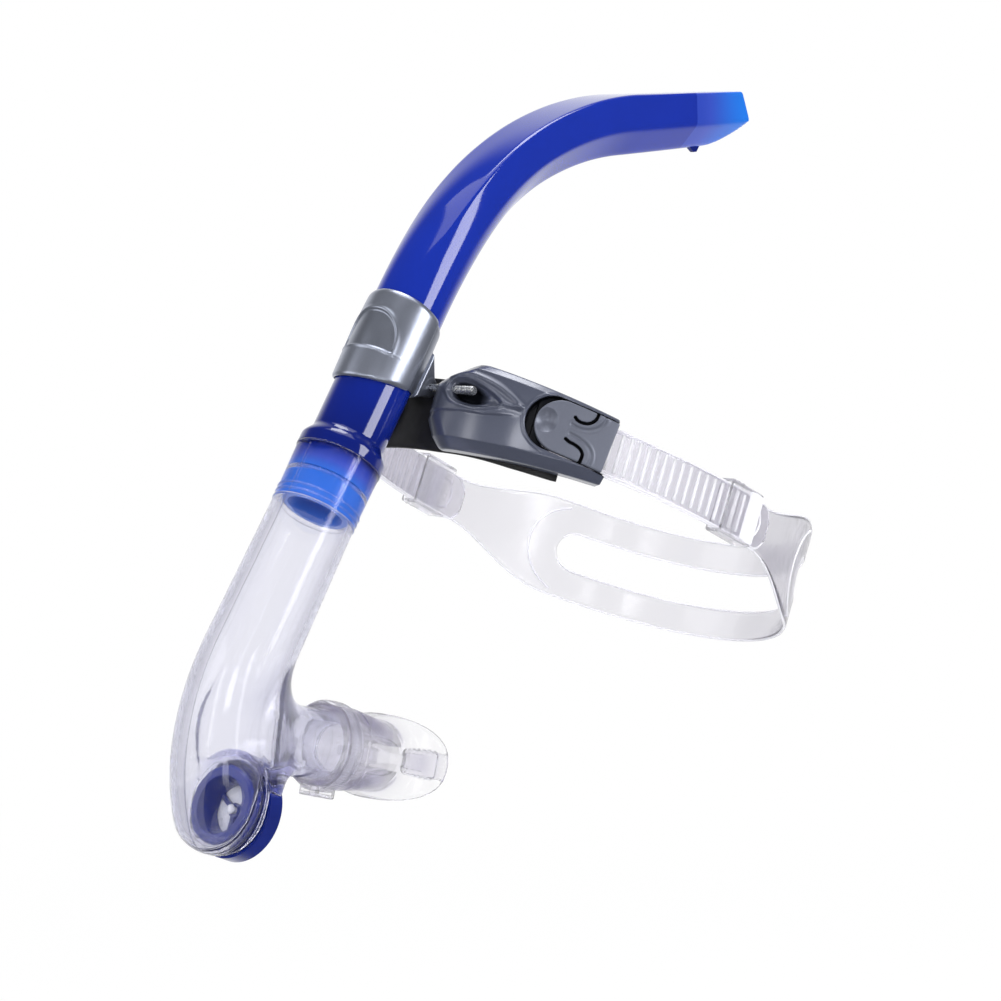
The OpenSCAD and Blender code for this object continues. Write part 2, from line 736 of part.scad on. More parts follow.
// Frame on the face of the head: its x runs round the head, its y out from it, its z up the band
function turn_of(t) = let (n = head_normal(t)) atan2(n.y, n.x) - 90;
module at_head(t, d = 0) translate(head_line(t, d)) rotate(turn_of(t)) mirror([1, 0, 0]) children();

pad_inset = 2;
module forehead_pad() {
    color(black_rubber) at_band() wall(-pad_turn, pad_turn, 0, pad_t, -pad_low, wing_top_in - pad_inset);
}

// Layers of a wing from the head outwards
wing_in = pad_t + seat_gap;
strap_in = strap_off;
fold_r = bar_d / 2 + seat_gap + strap_t / 2;
fold_mid = strap_in + strap_t / 2 + fold_r;
tail_mid = fold_mid + fold_r;
tail_top = tail_mid + strap_t / 2 + rib_h;
lever_in = wing_depth - lever_t;
bar_turn = lever_start + 4.5;
channel_start = bar_turn - 3.2;
channel_half = strap_w / 2 + lie_gap;
lever_half = lever_w / 2;
side_gap = 0.45;
pocket_half = lever_half + side_gap;
stub_len = 1.2;
teardrop_r = 5.6;
teardrop_len = 19;

// Cuts that shape a wing's top and bottom edges: each keeps the side of a plane through two places
module edge_cut(t0, z0, t1, z1, sign) {
    a = head_line(t0, wing_depth);
    b = head_line(t1, wing_depth);
    reach = 60;
    translate([a.x, a.y, z0]) rotate(atan2(b.y - a.y, b.x - a.x))
        rotate([0, -atan2(z1 - z0, norm(b - a)), 0])
        translate([-reach, -reach, sign > 0 ? 0 : -reach]) cube([3 * reach, 2 * reach, reach]);
}

module wing() {
    difference() {
        wall(wing_start, wing_end, wing_in, wing_depth, -wing_low_in, wing_peak);
        edge_cut(wing_start, nose_top, nose_turn, wing_top_in, 1);
        edge_cut(nose_turn, wing_top_in, wing_peak_turn, wing_peak, 1);
        edge_cut(wing_peak_turn, wing_peak, wing_end, wing_top_out, 1);
        edge_cut(wing_start, -nose_low, nose_turn, -wing_low_in, -1);
        edge_cut(nose_turn, -wing_low_in, wing_end, -wing_low_out, -1);
        // Channel for the folded strap, and the pocket that the lever lies in
        translate([0, 0, strap_rise])
            wall(
                channel_start, wing_end + 3,
                strap_in - lie_gap, lever_in + eps,
                -channel_half, channel_half
            );
        at_lever() {
            intersection() {
                wall(lever_start - 4, wing_end + 3, tail_top, wing_depth + 2, -pocket_half, pocket_half);
                lever_outline(pocket_half, lever_gap);
            }
            // Holes for the lever's stub axles
            translate(concat(
                head_line(lever_pivot, lever_in + lever_t / 2),
                [-pocket_half - stub_len - lie_gap]
            ))
                cylinder(h = 2 * (pocket_half + stub_len + lie_gap), r = stub_r + run_gap);
        }
        // Hole for the strap bar, open at the bottom edge
        translate(concat(head_line(bar_turn, fold_mid), [-2 * wing_low_in]))
            cylinder(
                h = 2 * wing_low_in + strap_rise + channel_half + bar_seat,
                r = bar_d / 2 + seat_gap / 2
            );
        // Teardrop recess that shows the axle's end, and the axle's hole
        translate([0, -axle_fwd, axle_rise]) rotate([0, 90, 0])
            cylinder(h = axle_len / 2 + lie_gap, r = axle_d / 2 + seat_gap / 2);
        at_head(teardrop_turn, wing_depth - teardrop_depth) rotate([-90, 0, 0]) translate([0, -axle_rise, 0])
            linear_extrude(clear_reach) polygon(teardrop());
    }
}
nose_turn = 10.5;
nose_top = 9;
nose_low = 6;
bar_seat = 2;
teardrop_turn = 17;
teardrop_depth = 7;
teardrop_tilt = 18;
function teardrop() = concat(
    [for (a = [60:20:300]) teardrop_r * [cos(a), sin(a)]],
    [teardrop_len * [cos(teardrop_tilt), sin(teardrop_tilt)]]
);

// Frame of a lever: the band's frame, raised and turned to the lever's slope
lever_rise = 2.4;
lever_slope = 5;
module at_lever() translate([0, 0, lever_rise]) at_head(lever_mid_turn) rotate([0, lever_slope, 0])
    mirror([1, 0, 0]) rotate(-turn_of(lever_mid_turn)) translate(-head_line(lever_mid_turn, 0)) children();

// Plate outline of a lever: a round inner end on straight sides
module lever_outline(half, gap) {
    at_head(lever_mid_turn) rotate([90, 0, 0]) mirror([0, 0, 1]) linear_extrude(clear_reach) {
        translate([-lever_len / 2 + lever_half - gap, -half]) square([2 * lever_len, 2 * half]);
        translate([-lever_len / 2 + lever_half - gap, 0]) circle(half);
    }
}
lever_inset = 0.6;
lever_end = wing_end - lever_inset;
lever_mid_turn = (lever_start + lever_end) / 2;
lever_len = norm(head_line(lever_end, wing_depth) - head_line(lever_start, wing_depth));
slot_w = 1.1;
slot_r = 4;
dimple_r = 4.2;
dimple_depth = 0.9;
pawl_w = 0.7;

// Curved slot from a lever's edge towards its middle
module j_slot() {
    translate([0, slot_r - lever_half, 0]) difference() {
        intersection() {
            circle(slot_r + slot_w / 2);
            translate([0, -2 * slot_r]) square([2 * slot_r, 2 * slot_r]);
        }
        circle(slot_r - slot_w / 2);
    }
}

module lever() {
    at_lever() difference() {
        union() {
            intersection() {
                wall(lever_start - 1, lever_end, lever_in, wing_depth, -lever_half, lever_half);
                lever_outline(lever_half, 0);
            }
            translate(concat(head_line(lever_pivot, lever_in + lever_t / 2), [-lever_half - stub_len]))
                cylinder(h = 2 * (lever_half + stub_len), r = stub_r);
        }
        // Finger dimple and the two springy slots
        at_head(dimple_turn, wing_depth - dimple_depth + dimple_ball) sphere(dimple_ball);
        at_head(slot_turn) rotate([90, 0, 0]) mirror([0, 0, 1]) linear_extrude(clear_reach) {
            j_slot();
            mirror([0, 1]) j_slot();
        }
    }
    translate([0, 0, strap_rise]) at_head(lever_pawl, tail_top - rib_h * 0.5)
        translate([-pawl_w / 2, 0, -strap_w / 2 + pawl_inset])
        cube([pawl_w, lever_in + lever_t / 2 - tail_top, strap_w - 2 * pawl_inset]);
}
pawl_inset = 2;
dimple_ball = (dimple_r * dimple_r + dimple_depth * dimple_depth) / 2 / dimple_depth;
dimple_turn = lever_start + 3.6;
slot_turn = lever_pivot + 1.6;

module right() mirror([1, 0, 0]) children();
module left_wing() color(slate_grey) at_band() wing();
module right_wing() color(slate_grey) at_band() right() wing();
module left_release_lever() color(slate_grey) at_band() lever();
module right_release_lever() color(slate_grey) at_band() right() lever();

// Steel bar that the strap folds round
module strap_bar() {
    low = -wing_low_out + 1;
    translate(concat(head_line(bar_turn, fold_mid), [low]))
        cylinder(h = strap_rise + channel_half + bar_seat - seat_gap - low, r = bar_d / 2);
}
module left_strap_bar() color(steel) at_band() strap_bar();
module right_strap_bar() color(steel) at_band() right() strap_bar();

// Depth of the tail's middle off the head, from the wing's channel down on to the inner layer
tail_rest = strap_in + 1.5 * strap_t + lie_gap;
settle_turn = 14;
function tail_depth(t) = mix(tail_mid, tail_rest, ease((t - wing_end - 1) / settle_turn));

// Ribbed face of one tail from its end to the fold: each rib is a flat-topped tooth
rib_share = 0.33;
rib_edge = 0.08;
first_rib = -3;
last_rib = floor((tail_end - lever_pawl) / rib_turn) - 1;
tooth = [[rib_share, 0], [rib_share - rib_edge, rib_h], [rib_edge - rib_share, rib_h], [-rib_share, 0]];
function tail_face(t, rib) = head_line(t, tail_depth(t) + strap_t / 2 + rib);
tail_teeth = [for (k = [last_rib:-1:first_rib]) for (e = tooth)
    tail_face(lever_pawl + (k + 0.5 + e[0]) * rib_turn, e[1])];

// Plan of one half of the strap: its ribbed side, and its smooth side
fold_steps = 8;
tail_steps = 24;
inner_steps = 36;
fold_c = head_line(bar_turn, fold_mid);
function fold_face(r) = [for (i = [0:fold_steps])
    let (n = head_normal(bar_turn), a = 180 * i / fold_steps)
    fold_c + r * (n * cos(a) + [n.y, -n.x] * sin(a))];
function inner_line(d) = [for (i = [1:inner_steps]) head_line(mix(bar_turn, 180, i / inner_steps), d)];
ribbed_side = concat(
    [tail_face(tail_end, 0)],
    tail_teeth,
    fold_face(fold_r + strap_t / 2),
    inner_line(strap_in)
);
smooth_side = concat(
    [for (i = [0:tail_steps - 1])
        let (t = mix(tail_end, bar_turn, i / tail_steps))
        head_line(t, tail_depth(t) - strap_t / 2)],
    fold_face(fold_r - strap_t / 2),
    inner_line(strap_in + strap_t)
);
function back(list) = [for (i = [len(list) - 1:-1:0]) list[i]];
function other(list) = [for (p = list) [-p.x, p.y]];
function less_last(list) = [for (i = [0:len(list) - 2]) list[i]];

// Side outline of the strap: narrow through the wings, widening to the yoke at the back
yoke_turn = 97;
yoke_spread = 30;
yoke_start = head_line(yoke_turn, 0).y;
yoke_full = head_line(yoke_turn + yoke_spread, 0).y;
outline_steps = 10;
function yoke_half(u) = mix(strap_w / 2, yoke_h / 2, ease(u));
function yoke_mid(u) = mix(strap_rise, 0, ease(u));
function outline_edge(sign) = concat(
    [[-clear_reach, strap_rise + sign * strap_w / 2]],
    [for (i = [0:outline_steps])
        let (u = i / outline_steps)
        [mix(yoke_start, yoke_full, u), yoke_mid(u) + sign * yoke_half(u)]],
    [[head_l + clear_reach, sign * yoke_h / 2]]
);

module head_strap() {
    slot_y = head_line(yoke_open, 0).y + yoke_gap / 2;
    color(soft_clear) at_band() intersection() {
        translate([0, 0, -yoke_h]) linear_extrude(2 * yoke_h) polygon(concat(
            ribbed_side,
            back(other(less_last(ribbed_side))),
            other(smooth_side),
            back(less_last(smooth_side))
        ));
        rotate([90, 0, 90]) translate([0, 0, -head_w]) difference() {
            linear_extrude(2 * head_w) polygon(concat(outline_edge(1), back(outline_edge(-1))));
            translate([slot_y, 0, 0]) cylinder(h = 2 * head_w, r = yoke_gap / 2);
            translate([slot_y, -yoke_gap / 2, 0]) cube([head_l, yoke_gap, 2 * head_w]);
        }
    }
}

// Loop that holds the tail down on the inner layer
keeper_low = strap_off - lie_gap - keeper_wall;
keeper_top = tail_rest + strap_t / 2 + rib_h + lie_gap;
keeper_sag = pow(keeper_len / 2 + keeper_travel, 2) / 2 / half_l;
keeper_half = strap_w / 2 + lie_gap;
keeper_step = 1;
module keeper() {
    outer_half = keeper_half + keeper_wall;
    translate([0, 0, strap_rise]) at_head(keeper_turn) difference() {
        union() {
            translate([-keeper_len / 2, keeper_low - keeper_sag, -outer_half])
                cube([keeper_len, keeper_top + keeper_wall - keeper_low + keeper_sag, 2 * outer_half]);
            translate([0, keeper_top, -outer_half])
                cube([keeper_len / 2, keeper_wall + keeper_step, 2 * outer_half]);
        }
        translate([-keeper_len, keeper_low + keeper_wall - keeper_sag, -keeper_half])
            cube([2 * keeper_len, keeper_top - keeper_low - keeper_wall + keeper_sag, 2 * keeper_half]);
    }
}
module left_strap_keeper() color(soft_clear) at_band() keeper();
module right_strap_keeper() color(soft_clear) at_band() right() keeper();

upper_tube();
joint_seal();
lower_body();
purge_seat();
purge_seal();
purge_membrane();
purge_cap();
mouthpiece();
mouthpiece_tie();
tube_clamp();
axle_pin();
forehead_pad();
left_wing();
right_wing();
left_release_lever();
right_release_lever();
left_strap_bar();
right_strap_bar();
head_strap();
left_strap_keeper();
right_strap_keeper();
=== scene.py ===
"""Centre-mount swim snorkel with its forehead bracket and head strap.

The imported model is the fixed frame. The classes below build the soft, clear and sculpted pieces on it, give
every piece its finish, and set up a plain studio with the camera of the photograph.
"""

import json
import logging
import math
from dataclasses import dataclass
from enum import Enum
from functools import reduce
from typing import Callable, Optional, Sequence

import bmesh
import bpy
import numpy as np
from mathutils import Matrix, Vector

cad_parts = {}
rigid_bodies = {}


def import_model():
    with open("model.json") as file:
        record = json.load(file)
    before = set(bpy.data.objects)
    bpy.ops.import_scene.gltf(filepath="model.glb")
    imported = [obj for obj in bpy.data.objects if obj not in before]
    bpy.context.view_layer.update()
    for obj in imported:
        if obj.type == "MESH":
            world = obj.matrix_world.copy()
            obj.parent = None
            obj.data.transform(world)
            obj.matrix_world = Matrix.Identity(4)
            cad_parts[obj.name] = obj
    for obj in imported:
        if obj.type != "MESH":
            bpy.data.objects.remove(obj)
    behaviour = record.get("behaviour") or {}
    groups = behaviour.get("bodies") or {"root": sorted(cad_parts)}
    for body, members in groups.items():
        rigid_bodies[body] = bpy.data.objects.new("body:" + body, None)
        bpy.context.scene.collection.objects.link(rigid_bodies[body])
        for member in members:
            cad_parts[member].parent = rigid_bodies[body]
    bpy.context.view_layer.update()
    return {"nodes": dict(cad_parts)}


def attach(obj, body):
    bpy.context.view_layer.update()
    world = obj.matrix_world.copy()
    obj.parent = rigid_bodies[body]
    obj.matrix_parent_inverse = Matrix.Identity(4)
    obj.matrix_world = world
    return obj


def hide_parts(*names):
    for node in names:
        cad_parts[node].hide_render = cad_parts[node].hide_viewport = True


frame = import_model()
LOG = logging.getLogger("snorkel")
MM = 0.001
Array = np.ndarray
Value = float | Array
Colour = tuple[float, float, float]
Corner = Sequence[float]
Pairs = Sequence[tuple[float, float]]
Field = Callable[[Array, Array, Array], Array]
Object = bpy.types.Object
Tree = bpy.types.NodeTree
Node = bpy.types.Node
Socket = bpy.types.NodeSocket


class Body(Enum):
    """Moving bodies of the part."""

    BAND = "head_band"
    CLAMP = "clamp"
    TUBE = "tube"
    FLAP = "purge_flap"
    LEFT_LEVER = "left_lever"
    RIGHT_LEVER = "right_lever"
    LEFT_KEEPER = "left_keeper"
    RIGHT_KEEPER = "right_keeper"


class Side(Enum):
    """Sides of the wearer's head, with the sign of their X."""

    LEFT = 1
    RIGHT = -1

    @property
    def word(self) -> str:
        """Name of the side as the nodes use it."""
        return self.name.lower()

    def body(self, kind: str) -> Body:
        """Body of a paired piece, such as a lever, on this side."""
        return Body(f"{self.word}_{kind}")


# Shared shapes of the object, in millimetres and degrees


def mix(a: Value, b: Value, t: Value) -> Value:
    """Straight mix of two values."""
    return a + (b - a) * t


def ease(t: Value) -> Value:
    """Smooth step from 0 to 1."""
    u = np.clip(t, 0, 1)
    return u * u * (3 - 2 * u)


def circle(count: int) -> Array:
    """Angles of points round a circle."""
    return np.linspace(0, 2 * np.pi, count, endpoint=False)


@dataclass(frozen=True)
class Place:
    """A local frame: its origin, and its turn about X in degrees."""

    origin: tuple[float, float, float]
    turn: float

    @property
    def axes(self) -> Array:
        """Rows of the frame's axes."""
        c, s = math.cos(math.radians(self.turn)), math.sin(math.radians(self.turn))
        return np.array([[1, 0, 0], [0, c, s], [0, -s, c]])

    def out(self, points: Array) -> Array:
        """Local points in the object's frame."""
        return np.asarray(self.origin) + np.asarray(points) @ self.axes

    def local(self, y: Array, z: Array) -> tuple[Array, Array]:
        """Local Y and Z of points from their own Y and Z."""
        axes, dy, dz = self.axes, y - self.origin[1], z - self.origin[2]
        return dy * axes[1, 1] + dz * axes[1, 2], dy * axes[2, 1] + dz * axes[2, 2]

    def ring(self, radius: float, z: float, count: int) -> Array:
        """Points of a circle about the local Z, in the object's frame."""
        a = circle(count)
        return self.out(np.stack([radius * np.cos(a), radius * np.sin(a), 0 * a + z], 1))


TUBE_LEAN = 35.0
SOCKET_DROP = 48.6
SPIGOT = 24.0
STRAP_RISE = 1.2
BAND = Place((0.0, 0.0, 0.0), -25.0)
CLAMP = Place((0.0, -18.511, 24.902), -TUBE_LEAN)
PORT = Place((0.0, -106.502, -110.109), -105.0)
PURGE = Place((0.0, -110.699, -138.671), -112.0)


def along(heading: Value) -> Array:
    """Directions in the middle plane that lean back by a heading in degrees."""
    h = np.radians(heading)
    return np.stack([0 * h, np.sin(h), np.cos(h)], -1)


def behind(heading: Value) -> Array:
    """Directions in the middle plane square to along(), towards the head."""
    h = np.radians(heading)
    return np.stack([0 * h, np.cos(h), -np.sin(h)], -1)


def arc(heading: float) -> Array:
    """Way along a bend of radius 1 from the tube's lean to a heading in degrees."""
    a, b = math.radians(TUBE_LEAN), math.radians(heading)
    return np.array([0, math.cos(a) - math.cos(b), math.sin(b) - math.sin(a)])


@dataclass(frozen=True)
class HeadLine:
    """Line of the head in the band's plane, an oval that starts at the forehead."""

    half_width: float = 78.0
    half_length: float = 104.0
    first_turn: float = -60.0
    last_turn: float = 190.0
    table: int = 1001

    def normal(self, turn: Value) -> Array:
        """Directions out of the head at angles round it.

        Args:
            turn: Angles in degrees.

        Returns:
            Directions of length 1 in the band's plane.
        """
        t = np.radians(turn)
        n = np.stack([self.half_length * np.sin(t), -self.half_width * np.cos(t)], -1)
        return n / np.linalg.norm(n, axis=-1, keepdims=True)

    def point(self, turn: Value, depth: Value) -> Array:
        """Places at angles round the head and depths off it."""
        base = np.stack([self.half_width * np.sin(np.radians(turn)), self.back(turn)], -1)
        return base + np.asarray(depth)[..., None] * self.normal(turn)

    def back(self, turn: Value) -> Value:
        """Distances behind the forehead at angles round the head."""
        return self.half_length * (1 - np.cos(np.radians(turn)))

    def turn_at(self, back: Value) -> Value:
        """Angles round the head at distances behind the forehead."""
        return np.degrees(np.arccos(np.clip(1 - back / self.half_length, -1, 1)))

    def unroll(self, x: Array, y: Array, passes: int = 6) -> tuple[Array, Array]:
        """Angle round the head and depth off it.

        Args:
            x: Places across the head.
            y: Places along the head.
            passes: Newton steps.

        Returns:
            The angles in degrees and the depths.
        """
        a, b = self.half_width, self.half_length
        t = np.arctan2(x / a, (b - y) / b)
        for _ in range(passes):
            px, py = x - a * np.sin(t), y - b * (1 - np.cos(t))
            dx, dy = a * np.cos(t), b * np.sin(t)
            slope = -(dx * dx + dy * dy) - px * a * np.sin(t) + py * b * np.cos(t)
            t = t - (px * dx + py * dy) / np.minimum(slope, -1)
        px, py = x - a * np.sin(t), y - b * (1 - np.cos(t))
        nx, ny = b * np.sin(t), -a * np.cos(t)
        return np.degrees(t), (px * nx + py * ny) / np.hypot(nx, ny)

    def run(self, turn: Value, depth: float = 9.0) -> Value:
        """Length round the head from the forehead, at a middling depth of the bracket.

        Args:
            turn: Angles in degrees.
            depth: Depth off the head.

        Returns:
            The lengths.
        """
        table = np.linspace(self.first_turn, self.last_turn, self.table)
        steps = np.r_[0, np.cumsum(np.linalg.norm(np.diff(self.point(table, depth), axis=0), axis=1))]
        return np.interp(turn, table, steps - np.interp(0, table, steps))

    def flat(self, places: Pairs) -> list[tuple[float, float]]:
        """Places in degrees round the head and heights, as lengths and heights."""
        return [(float(self.run(turn)), z) for turn, z in places]


HEAD = HeadLine()


# Distances that shape the sculpted pieces


def smooth_min(a: Array, b: Array, k: Value) -> Array:
    """Smaller of two distances, with a fillet of about k."""
    h = np.clip(0.5 + 0.5 * (b - a) / k, 0, 1)
    return mix(b, a, h) - k * h * (1 - h)


def smooth_max(a: Array, b: Array, k: Value) -> Array:
    """Larger of two distances, with a rounding of about k."""
    return -smooth_min(-a, -b, k)


def most(*fields: Array) -> Array:
    """Largest of several distances, with sharp edges."""
    return reduce(np.maximum, fields)


def raised(d: Array, height: float, width: float) -> Array:
    """Height of a rounded ridge that runs where a distance is zero."""
    return height * np.exp(-((d / width) ** 2))


def line_distance(u: Array, v: Array, points: Pairs) -> Array:
    """Distance to a line through points in a plane.

    Args:
        u, v: Places in the plane.
        points: Corners of the line.

    Returns:
        The distances.
    """
    best = None
    for (au, av), (bu, bv) in zip(points[:-1], points[1:]):
        du, dv = bu - au, bv - av
        t = np.clip(((u - au) * du + (v - av) * dv) / (du * du + dv * dv), 0, 1)
        d = np.hypot(u - au - t * du, v - av - t * dv)
        best = d if best is None else np.minimum(best, d)
    return best


def polygon_distance(u: Array, v: Array, points: Pairs) -> Array:
    """Signed distance to a closed outline in a plane, negative inside.

    Args:
        u, v: Places in the plane.
        points: Corners of the outline.

    Returns:
        The distances, negative inside.
    """
    loop = list(points) + [points[0]]
    inside = np.zeros(np.broadcast(u, v).shape, bool)
    for (au, av), (bu, bv) in zip(loop[:-1], loop[1:]):
        if av != bv:
            inside ^= ((av > v) != (bv > v)) & (u < (bu - au) * (v - av) / (bv - av) + au)
    return np.where(inside, -1, 1) * line_distance(u, v, loop)


def box_distance(x: Array, y: Array, z: Array, low: Corner, high: Corner, r: float) -> Array:
    """Signed distance to a box with rounded edges.

    Args:
        x, y, z: Points.
        low: Lowest corner.
        high: Highest corner.
        r: Radius of the edges.

    Returns:
        The distances, negative inside.
    """
    q = [np.abs(p - (l + h) / 2) - (h - l) / 2 + r for p, l, h in zip((x, y, z), low, high)]
    outside = np.sqrt(sum(np.maximum(p, 0) ** 2 for p in q))
    return outside + np.minimum(most(*q), 0) - r


def curve_through(points: Pairs, count: int) -> list[list[float]]:
    """Smooth line through points.

    Args:
        points: The points to pass through.
        count: Points made for each stretch.

    Returns:
        The points of the smooth line.
    """
    p = np.asarray(points, float)
    p = np.vstack([2 * p[0] - p[1], p, 2 * p[-1] - p[-2]])
    t = np.linspace(0, 1, count, endpoint=False)[:, None]
    out = []
    for a, b, c, d in zip(p[:-3], p[1:-2], p[2:-1], p[3:]):
        bend = (2 * a - 5 * b + 4 * c - d) * t**2 + (3 * b - a - 3 * c + d) * t**3
        out.append(0.5 * (2 * b + (c - a) * t + bend))
    return np.vstack(out + [p[-2:-1]]).tolist()


def path_distance(u: Array, z: Array, places: Pairs, count: int) -> Array:
    """Distance to a smooth line through places in degrees round the head and heights."""
    return line_distance(u, z, curve_through(HEAD.flat(places), count))


CORNERS = np.array([(i, j, k) for i in (0, 1) for j in (0, 1) for k in (0, 1)])
EDGES = [(a, b) for a in range(8) for b in range(a + 1, 8) if np.abs(CORNERS[a] - CORNERS[b]).sum() == 1]
PULLS = 2
LEAST_SLOPE = 0.3


def surface_of(field: Field, low: Corner, high: Corner, step: float) -> tuple[Array, Array]:
    """Closed skin of quads where a distance field is zero.

    Args:
        field: Signed distance, negative inside.
        low: Lowest corner of the piece's box.
        high: Highest corner of the piece's box.
        step: Spacing of the samples.

    Returns:
        The skin's points and its quads.
    """
    axes = [np.arange(l - 2 * step, h + 3 * step, step) for l, h in zip(low, high)]
    grid = np.meshgrid(*axes, indexing="ij", sparse=True)
    f = np.broadcast_to(field(*grid), [len(a) for a in axes]).astype(np.float32)
    inside = f < 0
    n = np.array(f.shape) - 1
    count = sum(inside[i:i + n[0], j:j + n[1], k:k + n[2]].astype(np.int8) for i, j, k in CORNERS)
    cells = np.argwhere((count > 0) & (count < 8))
    index = np.full(tuple(n), -1, np.int64)
    index[tuple(cells.T)] = np.arange(len(cells))
    total, hits = np.zeros((len(cells), 3)), np.zeros(len(cells))
    for a, b in EDGES:
        fa, fb = f[tuple((cells + CORNERS[a]).T)], f[tuple((cells + CORNERS[b]).T)]
        cross = (fa < 0) != (fb < 0)
        share = fa / np.where(cross, fa - fb, 1)
        total += cross[:, None] * (CORNERS[a] + share[:, None] * (CORNERS[b] - CORNERS[a]))
        hits += cross
    points = np.array([a[0] for a in axes]) + step * (cells + total / hits[:, None])
    quads = []
    for axis in range(3):
        sides, ids = np.moveaxis(inside, axis, 0), np.moveaxis(index, axis, 0)
        change = np.argwhere(sides[:-1, 1:-1, 1:-1] != sides[1:, 1:-1, 1:-1]) + (0, 1, 1)
        i, j, k = change.T
        quad = np.stack([ids[i, j - 1, k - 1], ids[i, j, k - 1], ids[i, j, k], ids[i, j - 1, k]], 1)
        flip = ~sides[i, j, k] ^ (axis == 1)
        quads.append(np.where(flip[:, None], quad[:, ::-1], quad))
    reach = step / 4
    for _ in range(PULLS):
        here = field(*points.T)
        ends = [(field(*(points + e).T), field(*(points - e).T)) for e in reach * np.eye(3)]
        slope = np.stack([(a - b) / (2 * reach) for a, b in ends], 1)
        pull = np.clip(here, -step / 2, step / 2) / np.maximum((slope**2).sum(1), LEAST_SLOPE)
        points = points - pull[:, None] * slope
    return points, np.vstack(quads)


# Finishes


def add_node(
    tree: Tree, kind: str, values: Optional[dict] = None, links: Optional[dict] = None, **settings: str
) -> Node:
    """Adds a node to a tree.

    Args:
        tree: The tree.
        kind: The node's type.
        values: Values of its inputs, by name or number.
        links: Sockets that feed its inputs, by name or number.
        settings: The node's own options.

    Returns:
        The node.
    """
    node = tree.nodes.new(kind)
    for name, setting in settings.items():
        setattr(node, name, setting)
    for label, value in (values or {}).items():
        node.inputs[label].default_value = value
    for label, socket in (links or {}).items():
        tree.links.new(socket, node.inputs[label])
    return node


def output_of(tree: Tree) -> Node:
    """A material's output node."""
    return next(n for n in tree.nodes if n.type == "OUTPUT_MATERIAL")


@dataclass(frozen=True)
class Finish:
    """A surface: its name, the record's slot, its colour and how rough it is."""

    name: str
    slot: str
    colour: Colour
    roughness: float

    def material(self) -> bpy.types.Material:
        """The finish's material, made on first use.

        Returns:
            The material.
        """
        known = bpy.data.materials.get(self.name)
        if known:
            return known
        made = bpy.data.materials.new(self.name)
        made.use_nodes = True
        made.diffuse_color = (*self.colour, 1)
        shader = made.node_tree.nodes["Principled BSDF"]
        self.fill(shader, {"Base Color": (*self.colour, 1), "Roughness": self.roughness})
        self.dress(made.node_tree, shader)
        return made

    def dress(self, tree: Tree, shader: Node) -> None:
        """Adds what the finish shows beyond a plain colour."""

    def tone(self, share: float) -> Colour:
        """The colour made darker or lighter."""
        return tuple(min(1, c * share) for c in self.colour)

    def colour_by(self, tree: Tree, shader: Node, noise: Socket, stops: Sequence[tuple]) -> None:
        """Lets the colour vary over the piece."""
        tree.links.new(self.ramp(tree, noise, stops), shader.inputs["Base Color"])

    def rough_by(self, tree: Tree, shader: Node, noise: Socket, low: float, high: float) -> None:
        """Lets the roughness vary over the piece, between two shares of its value."""
        spots = self.spread(tree, noise, self.roughness * low, self.roughness * high)
        tree.links.new(spots, shader.inputs["Roughness"])

    @staticmethod
    def fill(shader: Node, values: dict) -> None:
        """Sets plain values of the shader."""
        for label, value in values.items():
            shader.inputs[label].default_value = value

    @staticmethod
    def mark(tree: Tree, name: str) -> Node:
        """An attribute of the mesh."""
        return add_node(tree, "ShaderNodeAttribute", attribute_name=name)

    @staticmethod
    def noise(tree: Tree, scale: float, detail: float) -> Socket:
        """Even noise over the piece.

        Args:
            tree: The material's nodes.
            scale: Cells for each metre.
            detail: Octaves.

        Returns:
            The noise's value.
        """
        where = add_node(tree, "ShaderNodeTexCoord").outputs["Object"]
        values = {"Scale": scale, "Detail": detail}
        return add_node(tree, "ShaderNodeTexNoise", values, {"Vector": where}).outputs["Fac"]

    @staticmethod
    def ramp(tree: Tree, value: Socket, stops: Sequence[tuple]) -> Socket:
        """Colours along a value.

        Args:
            tree: The material's nodes.
            value: Where on the ramp a point is.
            stops: Places on the ramp and their colours.

        Returns:
            The colour.
        """
        node = add_node(tree, "ShaderNodeValToRGB", links={"Fac": value})
        marks = node.color_ramp.elements
        while len(marks) < len(stops):
            marks.new(0.5)
        for mark, (at, colour) in zip(marks, stops):
            mark.position = at
            mark.color = (*colour, 1)
        return node.outputs["Color"]

    @staticmethod
    def spread(tree: Tree, value: Socket, low: float, high: float) -> Socket:
        """A value from 0 to 1 laid over a range."""
        ends = {"To Min": low, "To Max": high}
        return add_node(tree, "ShaderNodeMapRange", ends, {"Value": value}).outputs["Result"]

    @staticmethod
    def multiply(tree: Tree, base: Socket, by: Socket, share: float) -> Socket:
        """A share of the way from a colour to its product with another.

        Args:
            tree: The material's nodes.
            base: The colour.
            by: The other.
            share: The share.

        Returns:
            The new colour.
        """
        options = {"data_type": "RGBA", "blend_type": "MULTIPLY"}
        node = add_node(tree, "ShaderNodeMix", {"Factor": share}, {"A": base, "B": by}, **options)
        return node.outputs["Result"]

    @staticmethod
    def bump(tree: Tree, shader: Node, height: Socket, depth: float) -> None:
        """Fine relief from a height value, depth in metres."""
        node = add_node(tree, "ShaderNodeBump", {"Distance": depth}, {"Height": height})
        tree.links.new(node.outputs["Normal"], shader.inputs["Normal"])


